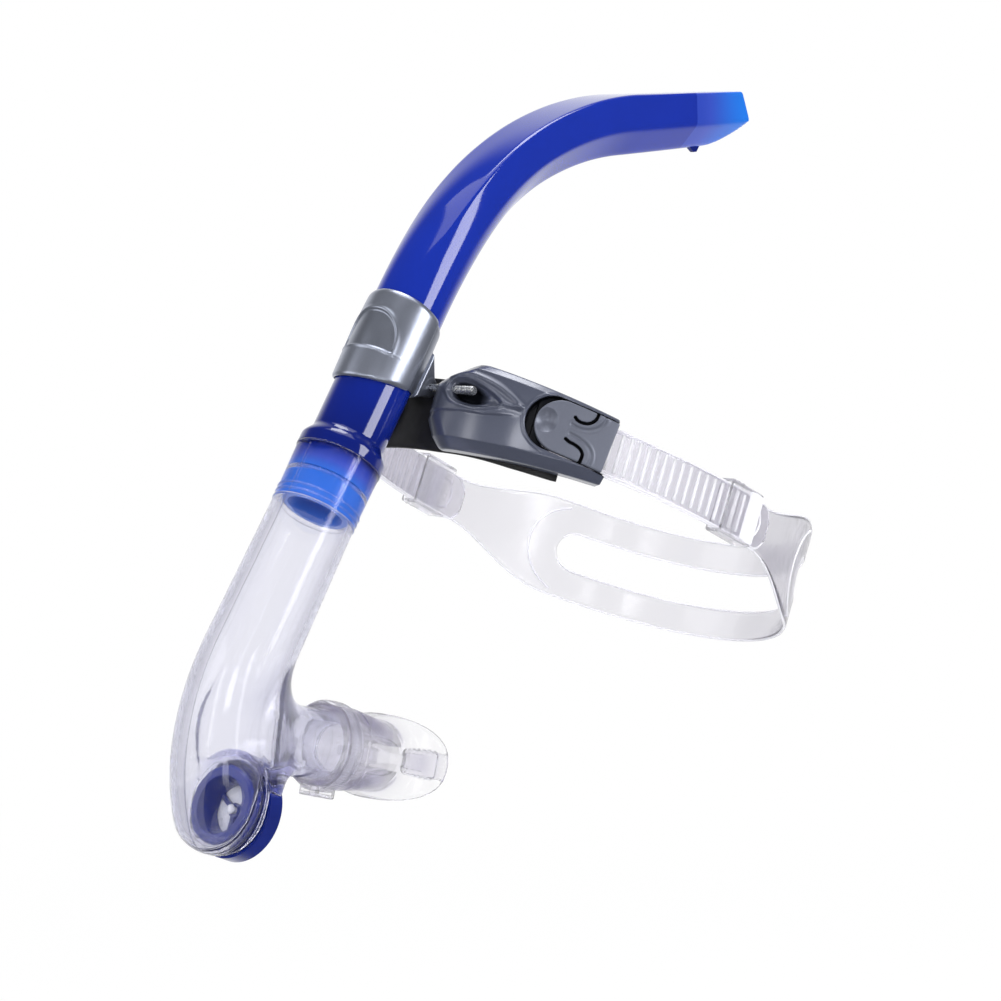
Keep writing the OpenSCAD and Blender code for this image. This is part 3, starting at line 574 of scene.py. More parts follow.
@dataclass(frozen=True)
class MouldedPlastic(Finish):
    """Opaque plastic with slight flow marks, or with metal flakes in it."""

    metallic: float = 0.0
    coat: float = 0.0
    flake: float = 0.0
    coat_roughness: float = 0.17
    flow_scale: float = 60.0
    flake_scale: float = 9000.0
    cloud_scale: float = 130.0
    grain_scale: float = 2500.0
    grain_depth: float = 0.000012

    def dress(self, tree: Tree, shader: Node) -> None:
        """Adds flow marks, flakes and a skin.

        Args:
            tree: The material's nodes.
            shader: Its main shader.
        """
        skin = {"Coat Weight": self.coat, "Coat Roughness": self.coat_roughness}
        self.fill(shader, {"Metallic": self.metallic, **skin})
        stops = [(0.3, self.tone(0.9 - self.flake)), (0.7, self.tone(1.08 + self.flake))]
        scale = self.flake_scale if self.flake else self.flow_scale
        self.colour_by(tree, shader, self.noise(tree, scale, 3), stops)
        self.rough_by(tree, shader, self.noise(tree, self.cloud_scale, 3), 0.8, 1.25)
        self.bump(tree, shader, self.noise(tree, self.grain_scale, 2), self.grain_depth)


@dataclass(frozen=True)
class ShadePaintedPlastic(MouldedPlastic):
    """Moulded plastic with painted shade in its recesses, from the attribute shade."""

    least_gloss: float = 0.02
    full_gloss: float = 0.5

    def dress(self, tree: Tree, shader: Node) -> None:
        """Adds the painted shade in the recesses to the moulded look, with less gloss there.

        Args:
            tree: The material's nodes.
            shader: Its main shader.
        """
        super().dress(tree, shader)
        # Painted shade: the colour is multiplied by the shade attribute, and the gloss and coat fade with it.
        base = shader.inputs["Base Color"].links[0].from_socket
        shade = self.mark(tree, "shade")
        tree.links.new(self.multiply(tree, base, shade.outputs["Color"], 1.0), shader.inputs["Base Color"])
        for name, full in (("Specular IOR Level", self.full_gloss), ("Coat Weight", self.coat)):
            gloss = self.spread(tree, shade.outputs["Fac"], self.least_gloss, full)
            tree.links.new(gloss, shader.inputs[name])


@dataclass(frozen=True)
class LightAndShadePaintedPlastic(Finish):
    """Deep blue plastic with painted light and shade by the attribute tint: painted shade at 0, brighter
    painted light and a painted glow towards 1.
    """

    # Painted light colours for a middling and a full tint.
    middle: Colour
    bright: Colour
    coat: float = 0.15
    coat_roughness: float = 0.03
    # Strength of the painted glow at full tint.
    glow: float = 0.1
    flow_scale: float = 35.0
    flow_share: float = 0.25
    cloud_scale: float = 90.0

    def dress(self, tree: Tree, shader: Node) -> None:
        """Adds the painted light and shade, the gloss and faint flow marks.

        Args:
            tree: The material's nodes.
            shader: Its main shader.
        """
        skin = {"Coat Weight": self.coat, "Coat Roughness": self.coat_roughness}
        # Painted glow: the piece emits its bright colour where tint is high, though it is no lamp.
        self.fill(shader, {"Emission Color": (*self.bright, 1), **skin})
        tint = self.mark(tree, "tint").outputs["Fac"]
        # Painted shade at tint 0, the plain colour at 0.12, and painted light in the middle and bright
        # colours above.
        stops = [(0.0, self.tone(0.5)), (0.12, self.colour), (0.5, self.middle), (1.0, self.bright)]
        depth = self.ramp(tree, tint, stops)
        flow = self.ramp(tree, self.noise(tree, self.flow_scale, 2), [(0.3, (0.6,) * 3), (0.7, (1.0,) * 3)])
        tree.links.new(self.multiply(tree, depth, flow, self.flow_share), shader.inputs["Base Color"])
        tree.links.new(self.spread(tree, tint, 0.0, self.glow), shader.inputs["Emission Strength"])
        self.rough_by(tree, shader, self.noise(tree, self.cloud_scale, 2), 0.7, 1.3)


@dataclass(frozen=True)
class ClearPlastic(Finish):
    """Clear plastic or silicone: bends light, and tints it along the way through."""

    ior: float
    depth_colour: Colour
    density: float
    waviness: float = 0.0001
    clearness: float = 1.0
    body: float = 1.0
    cloud_scale: float = 160.0
    wave_scale: float = 120.0

    def dress(self, tree: Tree, shader: Node) -> None:
        """Adds transmission, the tint in depth and the moulded waviness.

        Args:
            tree: The material's nodes.
            shader: Its main shader.
        """
        self.fill(shader, {"Transmission Weight": self.clearness, "IOR": self.ior, "Alpha": self.body})
        tint = {"Color": (*self.depth_colour, 1), "Density": self.density}
        depth = add_node(tree, "ShaderNodeVolumeAbsorption", tint)
        tree.links.new(depth.outputs["Volume"], output_of(tree).inputs["Volume"])
        self.rough_by(tree, shader, self.noise(tree, self.cloud_scale, 3), 0.5, 1.5)
        if self.waviness:
            self.bump(tree, shader, self.noise(tree, self.wave_scale, 3), self.waviness)


@dataclass(frozen=True)
class Rubber(Finish):
    """Matt rubber with a fine grain."""

    patch_scale: float = 220.0
    grain_scale: float = 3000.0
    grain_depth: float = 0.00004

    def dress(self, tree: Tree, shader: Node) -> None:
        """Adds the grain and dusty patches.

        Args:
            tree: The material's nodes.
            shader: Its main shader.
        """
        stops = [(0.35, self.colour), (0.75, self.tone(1.8))]
        self.colour_by(tree, shader, self.noise(tree, self.patch_scale, 4), stops)
        self.bump(tree, shader, self.noise(tree, self.grain_scale, 2), self.grain_depth)


@dataclass(frozen=True)
class Steel(Finish):
    """Drawn steel with fine marks."""

    mark_scale: float = 1500.0

    def dress(self, tree: Tree, shader: Node) -> None:
        """Adds the drawing marks.

        Args:
            tree: The material's nodes.
            shader: Its main shader.
        """
        self.fill(shader, {"Metallic": 1.0})
        marks = self.noise(tree, self.mark_scale, 4)
        self.colour_by(tree, shader, marks, [(0.3, self.tone(0.75)), (0.7, self.colour)])
        self.rough_by(tree, shader, marks, 0.72, 1.52)


PURE = (1.0, 1.0, 1.0)
# The tube: plain cobalt, then the middle and bright colours of its painted light.
COBALT = LightAndShadePaintedPlastic(
    "cobalt_tube", "blue_plastic", (0.004, 0.021, 0.325), 0.08, (0.035, 0.07, 0.48), (0.012, 0.16, 0.66)
)
CUP_BLUE = MouldedPlastic("cobalt_cup", "blue_plastic", (0.004, 0.014, 0.16), 0.2, coat=0.2)
CLEAR = ClearPlastic("clear_shell", "clear_plastic", PURE, 0.06, 1.36, (0.55, 0.55, 0.78), 75.0, body=0.9)
SILICONE = ClearPlastic("soft_clear", "clear_silicone", PURE, 0.1, 1.33, (0.62, 0.6, 0.72), 70.0, body=0.72)
BAND_CLEAR = ClearPlastic("soft_band", "clear_silicone", PURE, 0.14, 1.36, (0.62, 0.6, 0.7), 260.0, body=0.9)
MILKY = ClearPlastic(
    "soft_milky", "clear_silicone", (0.95, 0.95, 0.98), 0.22, 1.38, (0.8, 0.8, 0.9), 50.0, clearness=0.45
)
WHITE = ClearPlastic(
    "soft_white", "clear_silicone", (0.92, 0.93, 0.96), 0.3, 1.41, (0.9, 0.9, 0.95), 60.0, 0.0, clearness=0.15
)
# The clamp, wing and lever finishes get painted shade in their recesses from the shade attribute.
SILVER = ShadePaintedPlastic("silver_satin", "silver_plastic", (0.37, 0.4, 0.49), 0.3, 0.85, 0.1, 0.12)
SLATE = ShadePaintedPlastic("slate_gloss", "slate_plastic", (0.086, 0.097, 0.144), 0.3, 0.35, 0.9, 0.1)
SLATE_SATIN = ShadePaintedPlastic("slate_satin", "slate_plastic", (0.152, 0.165, 0.215), 0.4, 0.4, 0.12, 0.1)
RUBBER = Rubber("grained_rubber", "black_rubber", (0.012, 0.012, 0.014), 0.55)
NAVY_RUBBER = Rubber("navy_rubber", "black_rubber", (0.004, 0.008, 0.05), 0.45)
STEEL = Steel("drawn_steel", "steel", (0.78, 0.79, 0.80), 0.25)


# Meshes


def link_new(name: str, data: bpy.types.ID) -> Object:
    """A new object in the scene.

    Args:
        name: Its name.
        data: Its mesh, light or camera.

    Returns:
        The object.
    """
    made = bpy.data.objects.new(name, data)
    bpy.context.scene.collection.objects.link(made)
    return made


def mark_points(piece: Object, name: str, values: Array) -> None:
    """Gives a mesh a value at each of its points."""
    mark = piece.data.attributes.new(name, "FLOAT", "POINT")
    mark.data.foreach_set("value", np.asarray(values, np.float32))


def mesh_piece(name: str, points: Array, faces: Sequence, finish: Finish, sharp: float = 40.0) -> Object:
    """A mesh object with smooth faces.

    Args:
        name: The piece's name.
        points: Points in millimetres, in the object's frame.
        faces: Point numbers of each face.
        finish: What it is made of.
        sharp: Angle in degrees past which an edge stays sharp.

    Returns:
        The object, linked to the scene.
    """
    mesh = bpy.data.meshes.new(name)
    mesh.from_pydata((np.asarray(points, float) * MM).tolist(), [], [list(map(int, f)) for f in faces])
    mesh.validate()
    mesh.shade_smooth()
    mesh.set_sharp_from_angle(angle=math.radians(sharp))
    mesh.materials.append(finish.material())
    return link_new(name, mesh)


def seat(piece: Object, body: Body, finish: Finish, *nodes: str) -> Object:
    """Puts a piece on its body.

    Args:
        piece: The piece.
        body: The body that it moves with.
        finish: What it is made of; clear finishes cast no shadow.
        nodes: Nodes that it stands for.

    Returns:
        The piece.
    """
    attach(piece, body.value)
    if nodes:
        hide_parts(*nodes)
    if isinstance(finish, ClearPlastic):
        piece.visible_shadow = False
    LOG.info("%s: %d faces on %s", piece.name, len(piece.data.polygons), body.value)
    return piece


def dress_node(name: str, finish: Finish) -> None:
    """Gives a kept node its finish.

    Args:
        name: The node.
        finish: What it is made of.
    """
    node = frame["nodes"][name]
    node.data.materials.clear()
    node.data.materials.append(finish.material())
    LOG.info("%s: kept, in %s", name, finish.name)


def grid_faces(rows: int, columns: int, round_rows: bool = False, round_columns: bool = False) -> list[tuple]:
    """Quads between rows of points, numbered row by row.

    Args:
        rows: Number of rows.
        columns: Points in a row.
        round_rows: The last row joins the first.
        round_columns: The last point of a row joins the first.

    Returns:
        The quads.
    """
    faces = []
    for i in range(rows if round_rows else rows - 1):
        for j in range(columns if round_columns else columns - 1):
            here, there, beside = i * columns, ((i + 1) % rows) * columns, (j + 1) % columns
            faces.append((here + j, here + beside, there + beside, there + j))
    return faces


def face_out(piece: Object) -> None:
    """Turns a closed mesh's faces outwards, after its doubles are merged.

    Args:
        piece: The piece.
    """
    work = bmesh.new()
    work.from_mesh(piece.data)
    bmesh.ops.remove_doubles(work, verts=work.verts, dist=1e-6)
    bmesh.ops.recalc_face_normals(work, faces=work.faces)
    work.to_mesh(piece.data)
    work.free()


def mirrored(points: Array, faces: Array, side: Side) -> tuple[Array, Array]:
    """A left piece's mesh for the given side.

    Args:
        points: The left piece's points.
        faces: Its faces.
        side: The side.

    Returns:
        The points and faces.
    """
    if side is Side.LEFT:
        return points, faces
    return points * (-1, 1, 1), np.asarray(faces)[:, ::-1]


# Geometry Nodes for what repeats or follows a line


class NodeShape:
    """A Geometry Nodes tree with named inputs, run once and turned into a plain mesh."""

    def __init__(self, name: str, **inputs: str) -> None:
        """Starts a tree.

        Args:
            name: The tree's name.
            inputs: Socket types of its inputs after the geometry and the finish, by name.
        """
        self.tree = bpy.data.node_groups.new(name, "GeometryNodeTree")
        face = self.tree.interface
        face.new_socket("Geometry", in_out="INPUT", socket_type="NodeSocketGeometry")
        self.ids = {}
        for label, kind in {**inputs, "Finish": "Material"}.items():
            socket = face.new_socket(label, in_out="INPUT", socket_type=f"NodeSocket{kind}")
            self.ids[label] = socket.identifier
        face.new_socket("Geometry", in_out="OUTPUT", socket_type="NodeSocketGeometry")
        self.source = self.tree.nodes.new("NodeGroupInput").outputs

    def add(self, kind: str, values: Optional[dict] = None, **links: Socket) -> Socket:
        """Adds a node.

        Args:
            kind: The node's type, without Geometry in front.
            values: Values of its inputs, by name.
            links: Sockets that feed its inputs, by name with _ for a space.

        Returns:
            The node's first output.
        """
        named = {label.replace("_", " "): socket for label, socket in links.items()}
        return add_node(self.tree, f"GeometryNode{kind}", values, named).outputs[0]

    def close(self, geometry: Socket) -> None:
        """Ends the tree: smooth, real and in its finish.

        Args:
            geometry: What the tree has made.
        """
        smooth = self.add("SetShadeSmooth", Geometry=geometry)
        real = self.add("RealizeInstances", Geometry=smooth)
        finish = self.add("SetMaterial", Geometry=real, Material=self.source["Finish"])
        add_node(self.tree, "NodeGroupOutput", links={0: finish})

    def run(
        self, name: str, points: Array, edges: Sequence[tuple], finish: Finish, **values: float
    ) -> Object:
        """Runs the tree over points and edges.

        Args:
            name: Name of the new piece.
            points: Points in millimetres.
            edges: Pairs of point numbers.
            finish: What it is made of.
            values: Values of the tree's inputs, by name.

        Returns:
            The piece, as a plain mesh.
        """
        mesh = bpy.data.meshes.new(name)
        mesh.from_pydata((np.asarray(points, float) * MM).tolist(), list(edges), [])
        piece = link_new(name, mesh)
        modifier = piece.modifiers.new("shape", "NODES")
        modifier.node_group = self.tree
        for label, value in {**values, "Finish": finish.material()}.items():
            modifier[self.ids[label]] = value
        graph = bpy.context.evaluated_depsgraph_get()
        made = bpy.data.meshes.new_from_object(piece.evaluated_get(graph))
        piece.modifiers.remove(modifier)
        piece.data = made
        made.name = name
        if not made.materials:
            made.materials.append(finish.material())
        return piece


def bead_tree() -> NodeShape:
    """Tree that sweeps a round bead along lines.

    Returns:
        The tree.
    """
    shape = NodeShape("bead", Radius="Float", Sides="Int")
    path = shape.add("MeshToCurve", Mesh=shape.source["Geometry"])
    ring = shape.add("CurvePrimitiveCircle", Resolution=shape.source["Sides"], Radius=shape.source["Radius"])
    shape.close(shape.add("CurveToMesh", {"Fill Caps": True}, Curve=path, Profile_Curve=ring))
    return shape


def rib_tree() -> NodeShape:
    """Tree that sets a round bar on each point.

    Returns:
        The tree.
    """
    shape = NodeShape("rib_row", Radius="Float", Length="Float", Turn="Float")
    source = shape.source
    bar = shape.add("MeshCylinder", {"Vertices": 14}, Radius=source["Radius"], Depth=source["Length"])
    turn = add_node(shape.tree, "ShaderNodeCombineXYZ", links={"X": source["Turn"]}).outputs[0]
    shape.close(shape.add("InstanceOnPoints", Points=source["Geometry"], Instance=bar, Rotation=turn))
    return shape


def chain(count: int, closed: bool = False, first: int = 0) -> list[tuple[int, int]]:
    """Edges through numbered points, one after another."""
    edges = [(first + i, first + i + 1) for i in range(count - 1)]
    return edges + [(first + count - 1, first)] if closed else edges


def many(lines: Sequence[Array], closed: bool = False) -> tuple[Array, list[tuple[int, int]]]:
    """Points and edges of several lines.

    Args:
        lines: Points of each line.
        closed: Each line ends where it starts.

    Returns:
        All points and their edges.
    """
    edges, first = [], 0
    for line in lines:
        edges += chain(len(line), closed, first)
        first += len(line)
    return np.vstack(lines), edges


# Sub-assemblies


@dataclass
class UpperTube:
    """Blue tube: a spigot and a round part at the clamp, then a faceted bend to the open end."""

    diameter: float = 28.6
    wall: float = 2.0
    bend_start: float = 20.5
    bend_radius: float = 158.0
    bend_angle: float = 52.5
    tip_run: float = 71.0
    tip_width: float = 22.5
    bend_height: float = 25.0
    tip_height: float = 21.5
    curl: float = 21.0
    crisp: float = 22.0
    facet_rise: float = 1.5
    facet_run: float = 95.0
    end_slant: float = 0.37
    end_edge: float = 0.4
    mouth_edge: float = 0.35
    spigot_radius: float = 13.8
    spigot_wall: float = 2.6
    spigot_edge: float = 0.5
    groove_half: float = 1.0
    groove_floor: float = 0.9
    groove_depth: float = 1.2
    flare: float = 8.0
    flare_start: float = 0.3
    flare_radius: float = 17.05
    skirt: float = 1.2
    skirt_edge: float = 0.15
    lug_rows: tuple = ((-6.0, 0.4, 1.6), (-3.4, -2.0, 1.2), (-1.2, -2.0, 1.0), (0.4, 0.4, 1.5))
    lug_root: float = 1.5
    lug_taper: float = 0.7
    # Painted light and shade along the tube: painted light over the last glow millimetres and in the spigot,
    # painted shade below the clamp.
    glow: float = 34.0
    glow_edge: float = 0.05
    spigot_painted_light: float = 0.85
    clamp_tint: float = 0.15
    tip_painted_light: float = 0.4
    sides: int = 160

    @property
    def bend(self) -> float:
        """Length of the bend."""
        return self.bend_radius * math.radians(self.bend_angle)

    @property
    def tip(self) -> float:
        """Place of the open end along the tube."""
        return self.bend_start + self.bend + self.tip_run

    def heading(self, s: float) -> float:
        """Lean of the tube at a place along it."""
        return TUBE_LEAN + self.bend_angle * float(np.clip((s - self.bend_start) / self.bend, 0, 1))

    def centre(self, s: float) -> Array:
        """Point of the centre line at a place along the tube.

        Args:
            s: Place up from the clamp.

        Returns:
            The point.
        """
        heading, past = self.heading(s), max(0.0, s - self.bend_start - self.bend)
        start = np.array(CLAMP.origin) + min(s, self.bend_start) * along(TUBE_LEAN)
        return start + self.bend_radius * arc(heading) + past * along(heading)

    def height(self, s: float) -> float:
        """Height of the faceted section at a place along the tube."""
        share = np.clip((s - self.bend_start - self.bend) / self.tip_run, 0, 1)
        return float(mix(self.bend_height, self.tip_height, share))

    def section(self, s: float, cut: float) -> Array:
        """Ring of the round and faceted part.

        Args:
            s: Place along the tube.
            cut: Distance in from the outside.

        Returns:
            The ring's points.
        """
        share = float(ease((s - self.bend_start) / self.facet_run))
        a = circle(self.sides)
        width, height = float(mix(self.diameter, self.tip_width, share)), self.height(s)
        keel = (width + 2 * self.facet_rise) / 2 * math.sqrt(0.5)
        facets = [(90, height / 2), (0, width / 2), (180, width / 2)]
        facets += [(-45, keel), (-135, keel), (-90, height / 2)]
        power = sum((np.maximum(0, np.cos(a - math.radians(d))) / r) ** self.crisp for d, r in facets)
        r = mix(self.diameter / 2, power ** (-1 / self.crisp), share) - cut
        rise = float(np.clip((s - self.tip + self.curl) / self.curl, 0, 1)) ** 2
        up = r * np.sin(a)
        if rise > 0:
            up = np.maximum(up, mix(-height / 2, -self.facet_rise, rise) + cut)
        return self.ring(s, r * np.cos(a), up, self.end_slant * rise * up)

    def ring(self, s: float, across: Array, up: Array, lead: Array) -> Array:
        """Points round the centre line, from their places across, up and behind the section.

        Args:
            s: Place along the tube.
            across, up, lead: Places in the section.

        Returns:
            The ring's points.
        """
        h = self.heading(s)
        side = np.stack([across, 0 * across, 0 * across], 1)
        return self.centre(s) + side - up[:, None] * behind(h) - lead[:, None] * along(h)

    def round_ring(self, s: float, r: float) -> Array:
        """Round ring of the lower part."""
        a = circle(self.sides)
        return self.ring(s, r * np.cos(a), r * np.sin(a), 0 * a)

    def tint(self, s: float) -> float:
        """Level of painted light and shade at a place along the tube.

        Args:
            s: Place along the tube.

        Returns:
            From 0, painted shade, through the plain colour near 0.12, to 1, full painted light.
        """
        if s < -SOCKET_DROP - self.skirt - 0.1:
            return self.spigot_painted_light
        if s > self.tip - self.glow:
            return float(mix(self.tip_painted_light, 1.0, ease((s - self.tip + self.glow) / self.glow)))
        return self.clamp_tint * float(ease((s + 15) / 20))

    def turned(self) -> list[tuple[float, float]]:
        """Places and radii of the round outside, from the spigot's end to the clamp.

        Returns:
            The places and radii.
        """
        r, top, wide = self.spigot_radius, -SOCKET_DROP, self.flare_radius
        low, skirt = top - SPIGOT, top - self.skirt
        groove, deep = low + SPIGOT / 2, r - self.groove_depth
        rings = [(low, r - self.spigot_edge), (low + self.spigot_edge, r), (groove - self.groove_half, r)]
        rings += [(groove - self.groove_floor, deep), (groove + self.groove_floor, deep)]
        rings += [(groove + self.groove_half, r), (skirt, r)]
        rings += [(skirt, wide - self.skirt_edge), (skirt + self.skirt_edge, wide)]
        for t in np.linspace(0, 1, 15):
            at = top + self.flare * mix(self.flare_start, 1.0, t)
            rings.append((at, float(mix(wide, self.diameter / 2, ease(t)))))
        return rings

    def stops(self) -> Array:
        """Places of the rings from the bend to the open end.

        Returns:
            The places.
        """
        bent, glow, curl = self.bend_start + self.bend, self.tip - self.glow, self.tip - self.curl
        spans = [(self.bend_start, bent, 48), (bent, glow, 8), (glow, glow + self.glow_edge, 2)]
        spans += [(glow, curl, 6), (curl, self.tip - self.end_edge, 16)]
        return np.r_[self.bend_start, np.concatenate([np.linspace(*span)[1:] for span in spans])]

    def build(self) -> list[Object]:
        """Builds the tube with its bore and its drip lug.

        Returns:
            The pieces.
        """
        outside, stops = self.turned(), self.stops()
        cuts = [(s, 0.0) for s in stops] + [(self.tip, self.mouth_edge), (self.tip, self.wall)]
        cuts += [(s, self.wall) for s in stops[::-1]]
        bore = self.spigot_radius - self.spigot_wall
        inside = [(self.flare - SOCKET_DROP, self.diameter / 2 - self.wall), (-SOCKET_DROP, bore)]
        inside += [(-SOCKET_DROP - SPIGOT, bore)]
        rings = [self.round_ring(s, r) for s, r in outside] + [self.section(s, cut) for s, cut in cuts]
        rings += [self.round_ring(s, r) for s, r in inside]
        light_and_shade = np.repeat([self.tint(s) for s, _ in outside + cuts + inside], self.sides)
        lug, lug_faces = self.lug(len(light_and_shade))
        faces = grid_faces(len(rings), self.sides, True, True) + lug_faces
        piece = mesh_piece("upper_tube_skin", np.vstack(rings + [lug]), faces, COBALT, sharp=35)
        face_out(piece)
        # The tint attribute carries the painted light and shade.
        mark_points(piece, "tint", np.r_[light_and_shade, np.zeros(len(lug))])
        return [seat(piece, Body.TUBE, COBALT, "upper_tube")]

    def lug(self, first: int) -> tuple[Array, list[tuple]]:
        """Small keel under the open end.

        Args:
            first: Number of its first point.

        Returns:
            Its points and faces.
        """
        rows = []
        for place, drop, half in self.lug_rows:
            s = self.tip - self.curl + place
            down, base = behind(self.heading(s)), self.height(s) / 2
            mid = self.centre(s) + (base - drop) * down
            deep = self.centre(s) + (base - self.lug_root) * down
            wide, slim = np.array([half, 0, 0]), np.array([half * self.lug_taper, 0, 0])
            rows.append([deep + wide, mid + slim, mid - slim, deep - wide])
        last = 4 * (len(rows) - 1)
        faces = grid_faces(len(rows), 4, False, True) + [(3, 2, 1, 0), (last, last + 1, last + 2, last + 3)]
        return np.vstack(rows), [tuple(first + n for n in f) for f in faces]


@dataclass
class LowerBody:
    """Clear lower body: socket, bent tube, bulb with the purge well, and the port to the mouth."""

    socket_radius: float = 13.4
    rim_radius: float = 16.85
    rim_rise: float = 0.8
    wall: float = 2.6
    run: float = 62.0
    bend_radius: float = 68.0
    bend_angle: float = 50.0
    waist: float = 16.4
    swell: float = 17.5
    bulb: float = 20.6
    bulb_end: float = 16.0
    port_radius: float = 13.2
    port_bore: float = 9.5
    port_start: float = 2.0
    port_reach: float = 58.0
    port_root: float = 34.0
    root_flare: float = 3.6
    fillet: float = 17.0
    front_fillet: float = 0.8
    well_radius: float = 18.95
    well_floor: float = 4.0
    neck_radius: float = 17.3
    neck: float = 11.0
    seat_radius: float = 15.3
    flank_start: float = 0.5
    flank_room: float = 0.3
    flank_side: float = -8.0
    ridge_size: float = 0.28
    ridge_sunk: float = 0.12
    bead_size: float = 0.4
    neck_beads: tuple = (5.2, 7.0, 8.8)
    socket_beads: tuple = ((1.5, 0.1), (20.0, 0.0), (22.4, 0.0), (24.8, 0.0))
    box: tuple = ((-22, -134, -162), (22, -36, -10))
    step: float = 0.7

    @property
    def bend_start(self) -> float:
        """Place of the bend's start, down from the socket's rim."""
        return SPIGOT + self.run

    @property
    def end(self) -> float:
        """Place of the bend's end."""
        return self.bend_start + self.bend_radius * math.radians(self.bend_angle)

    def heading(self, s: float) -> float:
        """Lean of the body at a place down it."""
        share = np.clip((s - self.bend_start) / (self.end - self.bend_start), 0, 1)
        return TUBE_LEAN - self.bend_angle * float(share)

    def centre(self, s: float) -> Array:
        """Point of the centre line at a place down the body.

        Args:
            s: Place down from the socket's rim.

        Returns:
            The point.
        """
        heading = self.heading(s)
        start = np.array(CLAMP.origin) - (SOCKET_DROP + min(s, self.bend_start)) * along(TUBE_LEAN)
        return start + self.bend_radius * arc(heading) - max(0.0, s - self.end) * along(heading)

    def radius(self, s: Value) -> Array:
        """Outside radius at places down the body, up to the bulb's round end.

        Args:
            s: Places down the body.

        Returns:
            The radii.
        """
        straight = np.interp(s, [0, SPIGOT, self.bend_start], [self.rim_radius, self.waist, self.swell])
        turn = (s - self.bend_start) / (self.end - self.bend_start)
        return np.where(s < self.bend_start, straight, mix(self.swell, self.bulb, ease(turn)))

    @staticmethod
    def down(y: Array, z: Array, base: Array, heading: float) -> tuple[Array, Array]:
        """Places down and behind a straight line through a point, of points in the middle plane.

        Args:
            y, z: The points.
            base: Point on the line.
            heading: The line's lean.

        Returns:
            Places down and behind.
        """
        c, s = math.cos(math.radians(heading)), math.sin(math.radians(heading))
        dy, dz = y - base[1], z - base[2]
        return -(dy * s + dz * c), dy * c - dz * s

    def places(self, y: Array, z: Array) -> tuple[Array, Array]:
        """Places down the body and behind its centre line of points in the middle plane.

        Args:
            y, z: The points.

        Returns:
            Places down and behind.
        """
        foot_lean = TUBE_LEAN - self.bend_angle
        s1, v1 = self.down(y, z, self.centre(0), TUBE_LEAN)
        s3, v3 = self.down(y, z, self.centre(self.end), foot_lean)
        hub = self.centre(self.bend_start) + self.bend_radius * behind(TUBE_LEAN)
        qy, qz = y - hub[1], z - hub[2]
        low, high = math.radians(foot_lean), math.radians(TUBE_LEAN)
        h = np.clip(np.arctan2(qz, -qy), low, high)
        s2, v2 = self.bend_start + (high - h) * self.bend_radius, self.bend_radius - np.hypot(qy, qz)
        straight, last = s1 < self.bend_start, s3 > 0
        s = np.where(straight, s1, np.where(last, self.end + s3, s2))
        return s, np.where(straight, v1, np.where(last, v3, v2))

    def tube_field(self, x: Array, s: Array, v: Array, cut: float) -> Array:
        """Distance to the body's tube and bulb, cut millimetres in.

        Args:
            x: Places across.
            s, v: Places down and behind.
            cut: Distance in.

        Returns:
            The distances, negative inside.
        """
        out = np.hypot(x, v)
        r = self.radius(s) - cut
        if cut:
            r = np.where(s < SPIGOT, self.socket_radius, r)
        long, wide = self.bulb_end - cut, self.bulb - cut
        dome = (np.hypot(out / wide, np.maximum(s - self.end, 0) / long) - 1) * min(long, wide)
        return np.where(s > self.end, dome, out - r)

    def field(self, x: Array, y: Array, z: Array) -> Array:
        """Distance to the whole clear body.

        Args:
            x, y, z: Points in the object's frame.

        Returns:
            The distances, negative inside.
        """
        s, v = self.places(y, z)
        across, reach = PORT.local(y, z)
        out = np.hypot(x, across)
        port_r = self.port_radius + self.root_flare * np.clip(1 - reach / self.port_root, 0, 1)
        stub = smooth_max(out - port_r, np.maximum(reach - self.port_reach, self.port_start - reach), 0.8)
        fillet = mix(self.front_fillet, self.fillet, ease((v + 2) / 10))
        tube = smooth_max(self.tube_field(x, s, v, 0), -s - self.rim_rise, 0.4)
        outer = smooth_min(tube, stub, fillet)
        round_y, deep = PURGE.local(y, z)
        ring = np.hypot(x, round_y)
        block = np.maximum(ring - self.well_radius - self.wall, self.well_floor - self.wall - deep)
        bore = np.maximum(out - port_r + self.port_radius - self.port_bore, self.port_start - reach)
        inner = smooth_max(smooth_min(self.tube_field(x, s, v, self.wall), bore, fillet), -block, 4)
        collar = np.maximum(ring - self.neck_radius, deep - self.neck)
        well = smooth_max(np.maximum(ring - self.well_radius, self.well_floor - deep), -collar, 0.4)
        hole = np.maximum(ring - self.seat_radius, -self.wall - deep)
        solid = smooth_max(outer, -inner, 0.7)
        flank_low, flank_in = self.well_floor + self.flank_start, self.neck_radius + self.flank_room
        flank = most(flank_low - deep, flank_in - ring, self.flank_side - round_y)
        solid = smooth_max(solid, -flank, 0.8)
        return smooth_max(smooth_max(solid, -well, 0.6), -hole, 0.4)

    def ridge_point(self, s: float) -> Array:
        """Point of the parting line on the body's front."""
        r = float(self.radius(s)) * math.sqrt(max(0, 1 - (max(0, s - self.end) / self.bulb_end) ** 2))
        return self.centre(s) - (r - self.ridge_sunk) * behind(self.heading(s))

    def build(self, beads: NodeShape) -> list[Object]:
        """Builds the body, its parting ridge and its ring beads.

        Args:
            beads: Tree that sweeps the beads.

        Returns:
            The pieces.
        """
        points, faces = surface_of(self.field, *self.box, self.step)
        shell = mesh_piece("lower_body_shell", points, faces, CLEAR, sharp=60)
        seat(shell, Body.TUBE, CLEAR, "lower_body")
        line = np.array([self.ridge_point(s) for s in np.linspace(3, self.end + 6, 60)])
        size = self.ridge_size * MM
        ridge = beads.run("lower_body_parting_ridge", line, chain(len(line)), CLEAR, Radius=size, Sides=10)
        rings = [PURGE.ring(self.neck_radius, z, 80) for z in self.neck_beads]
        for s, sunk in self.socket_beads:
            rings.append(CLAMP.ring(float(self.radius(s)) - sunk, -SOCKET_DROP - s, 80))
        points, edges = many(rings, True)
        lines = beads.run("lower_body_rings", points, edges, CLEAR, Radius=self.bead_size * MM, Sides=10)
        return [shell, seat(ridge, Body.TUBE, CLEAR), seat(lines, Body.TUBE, CLEAR)]


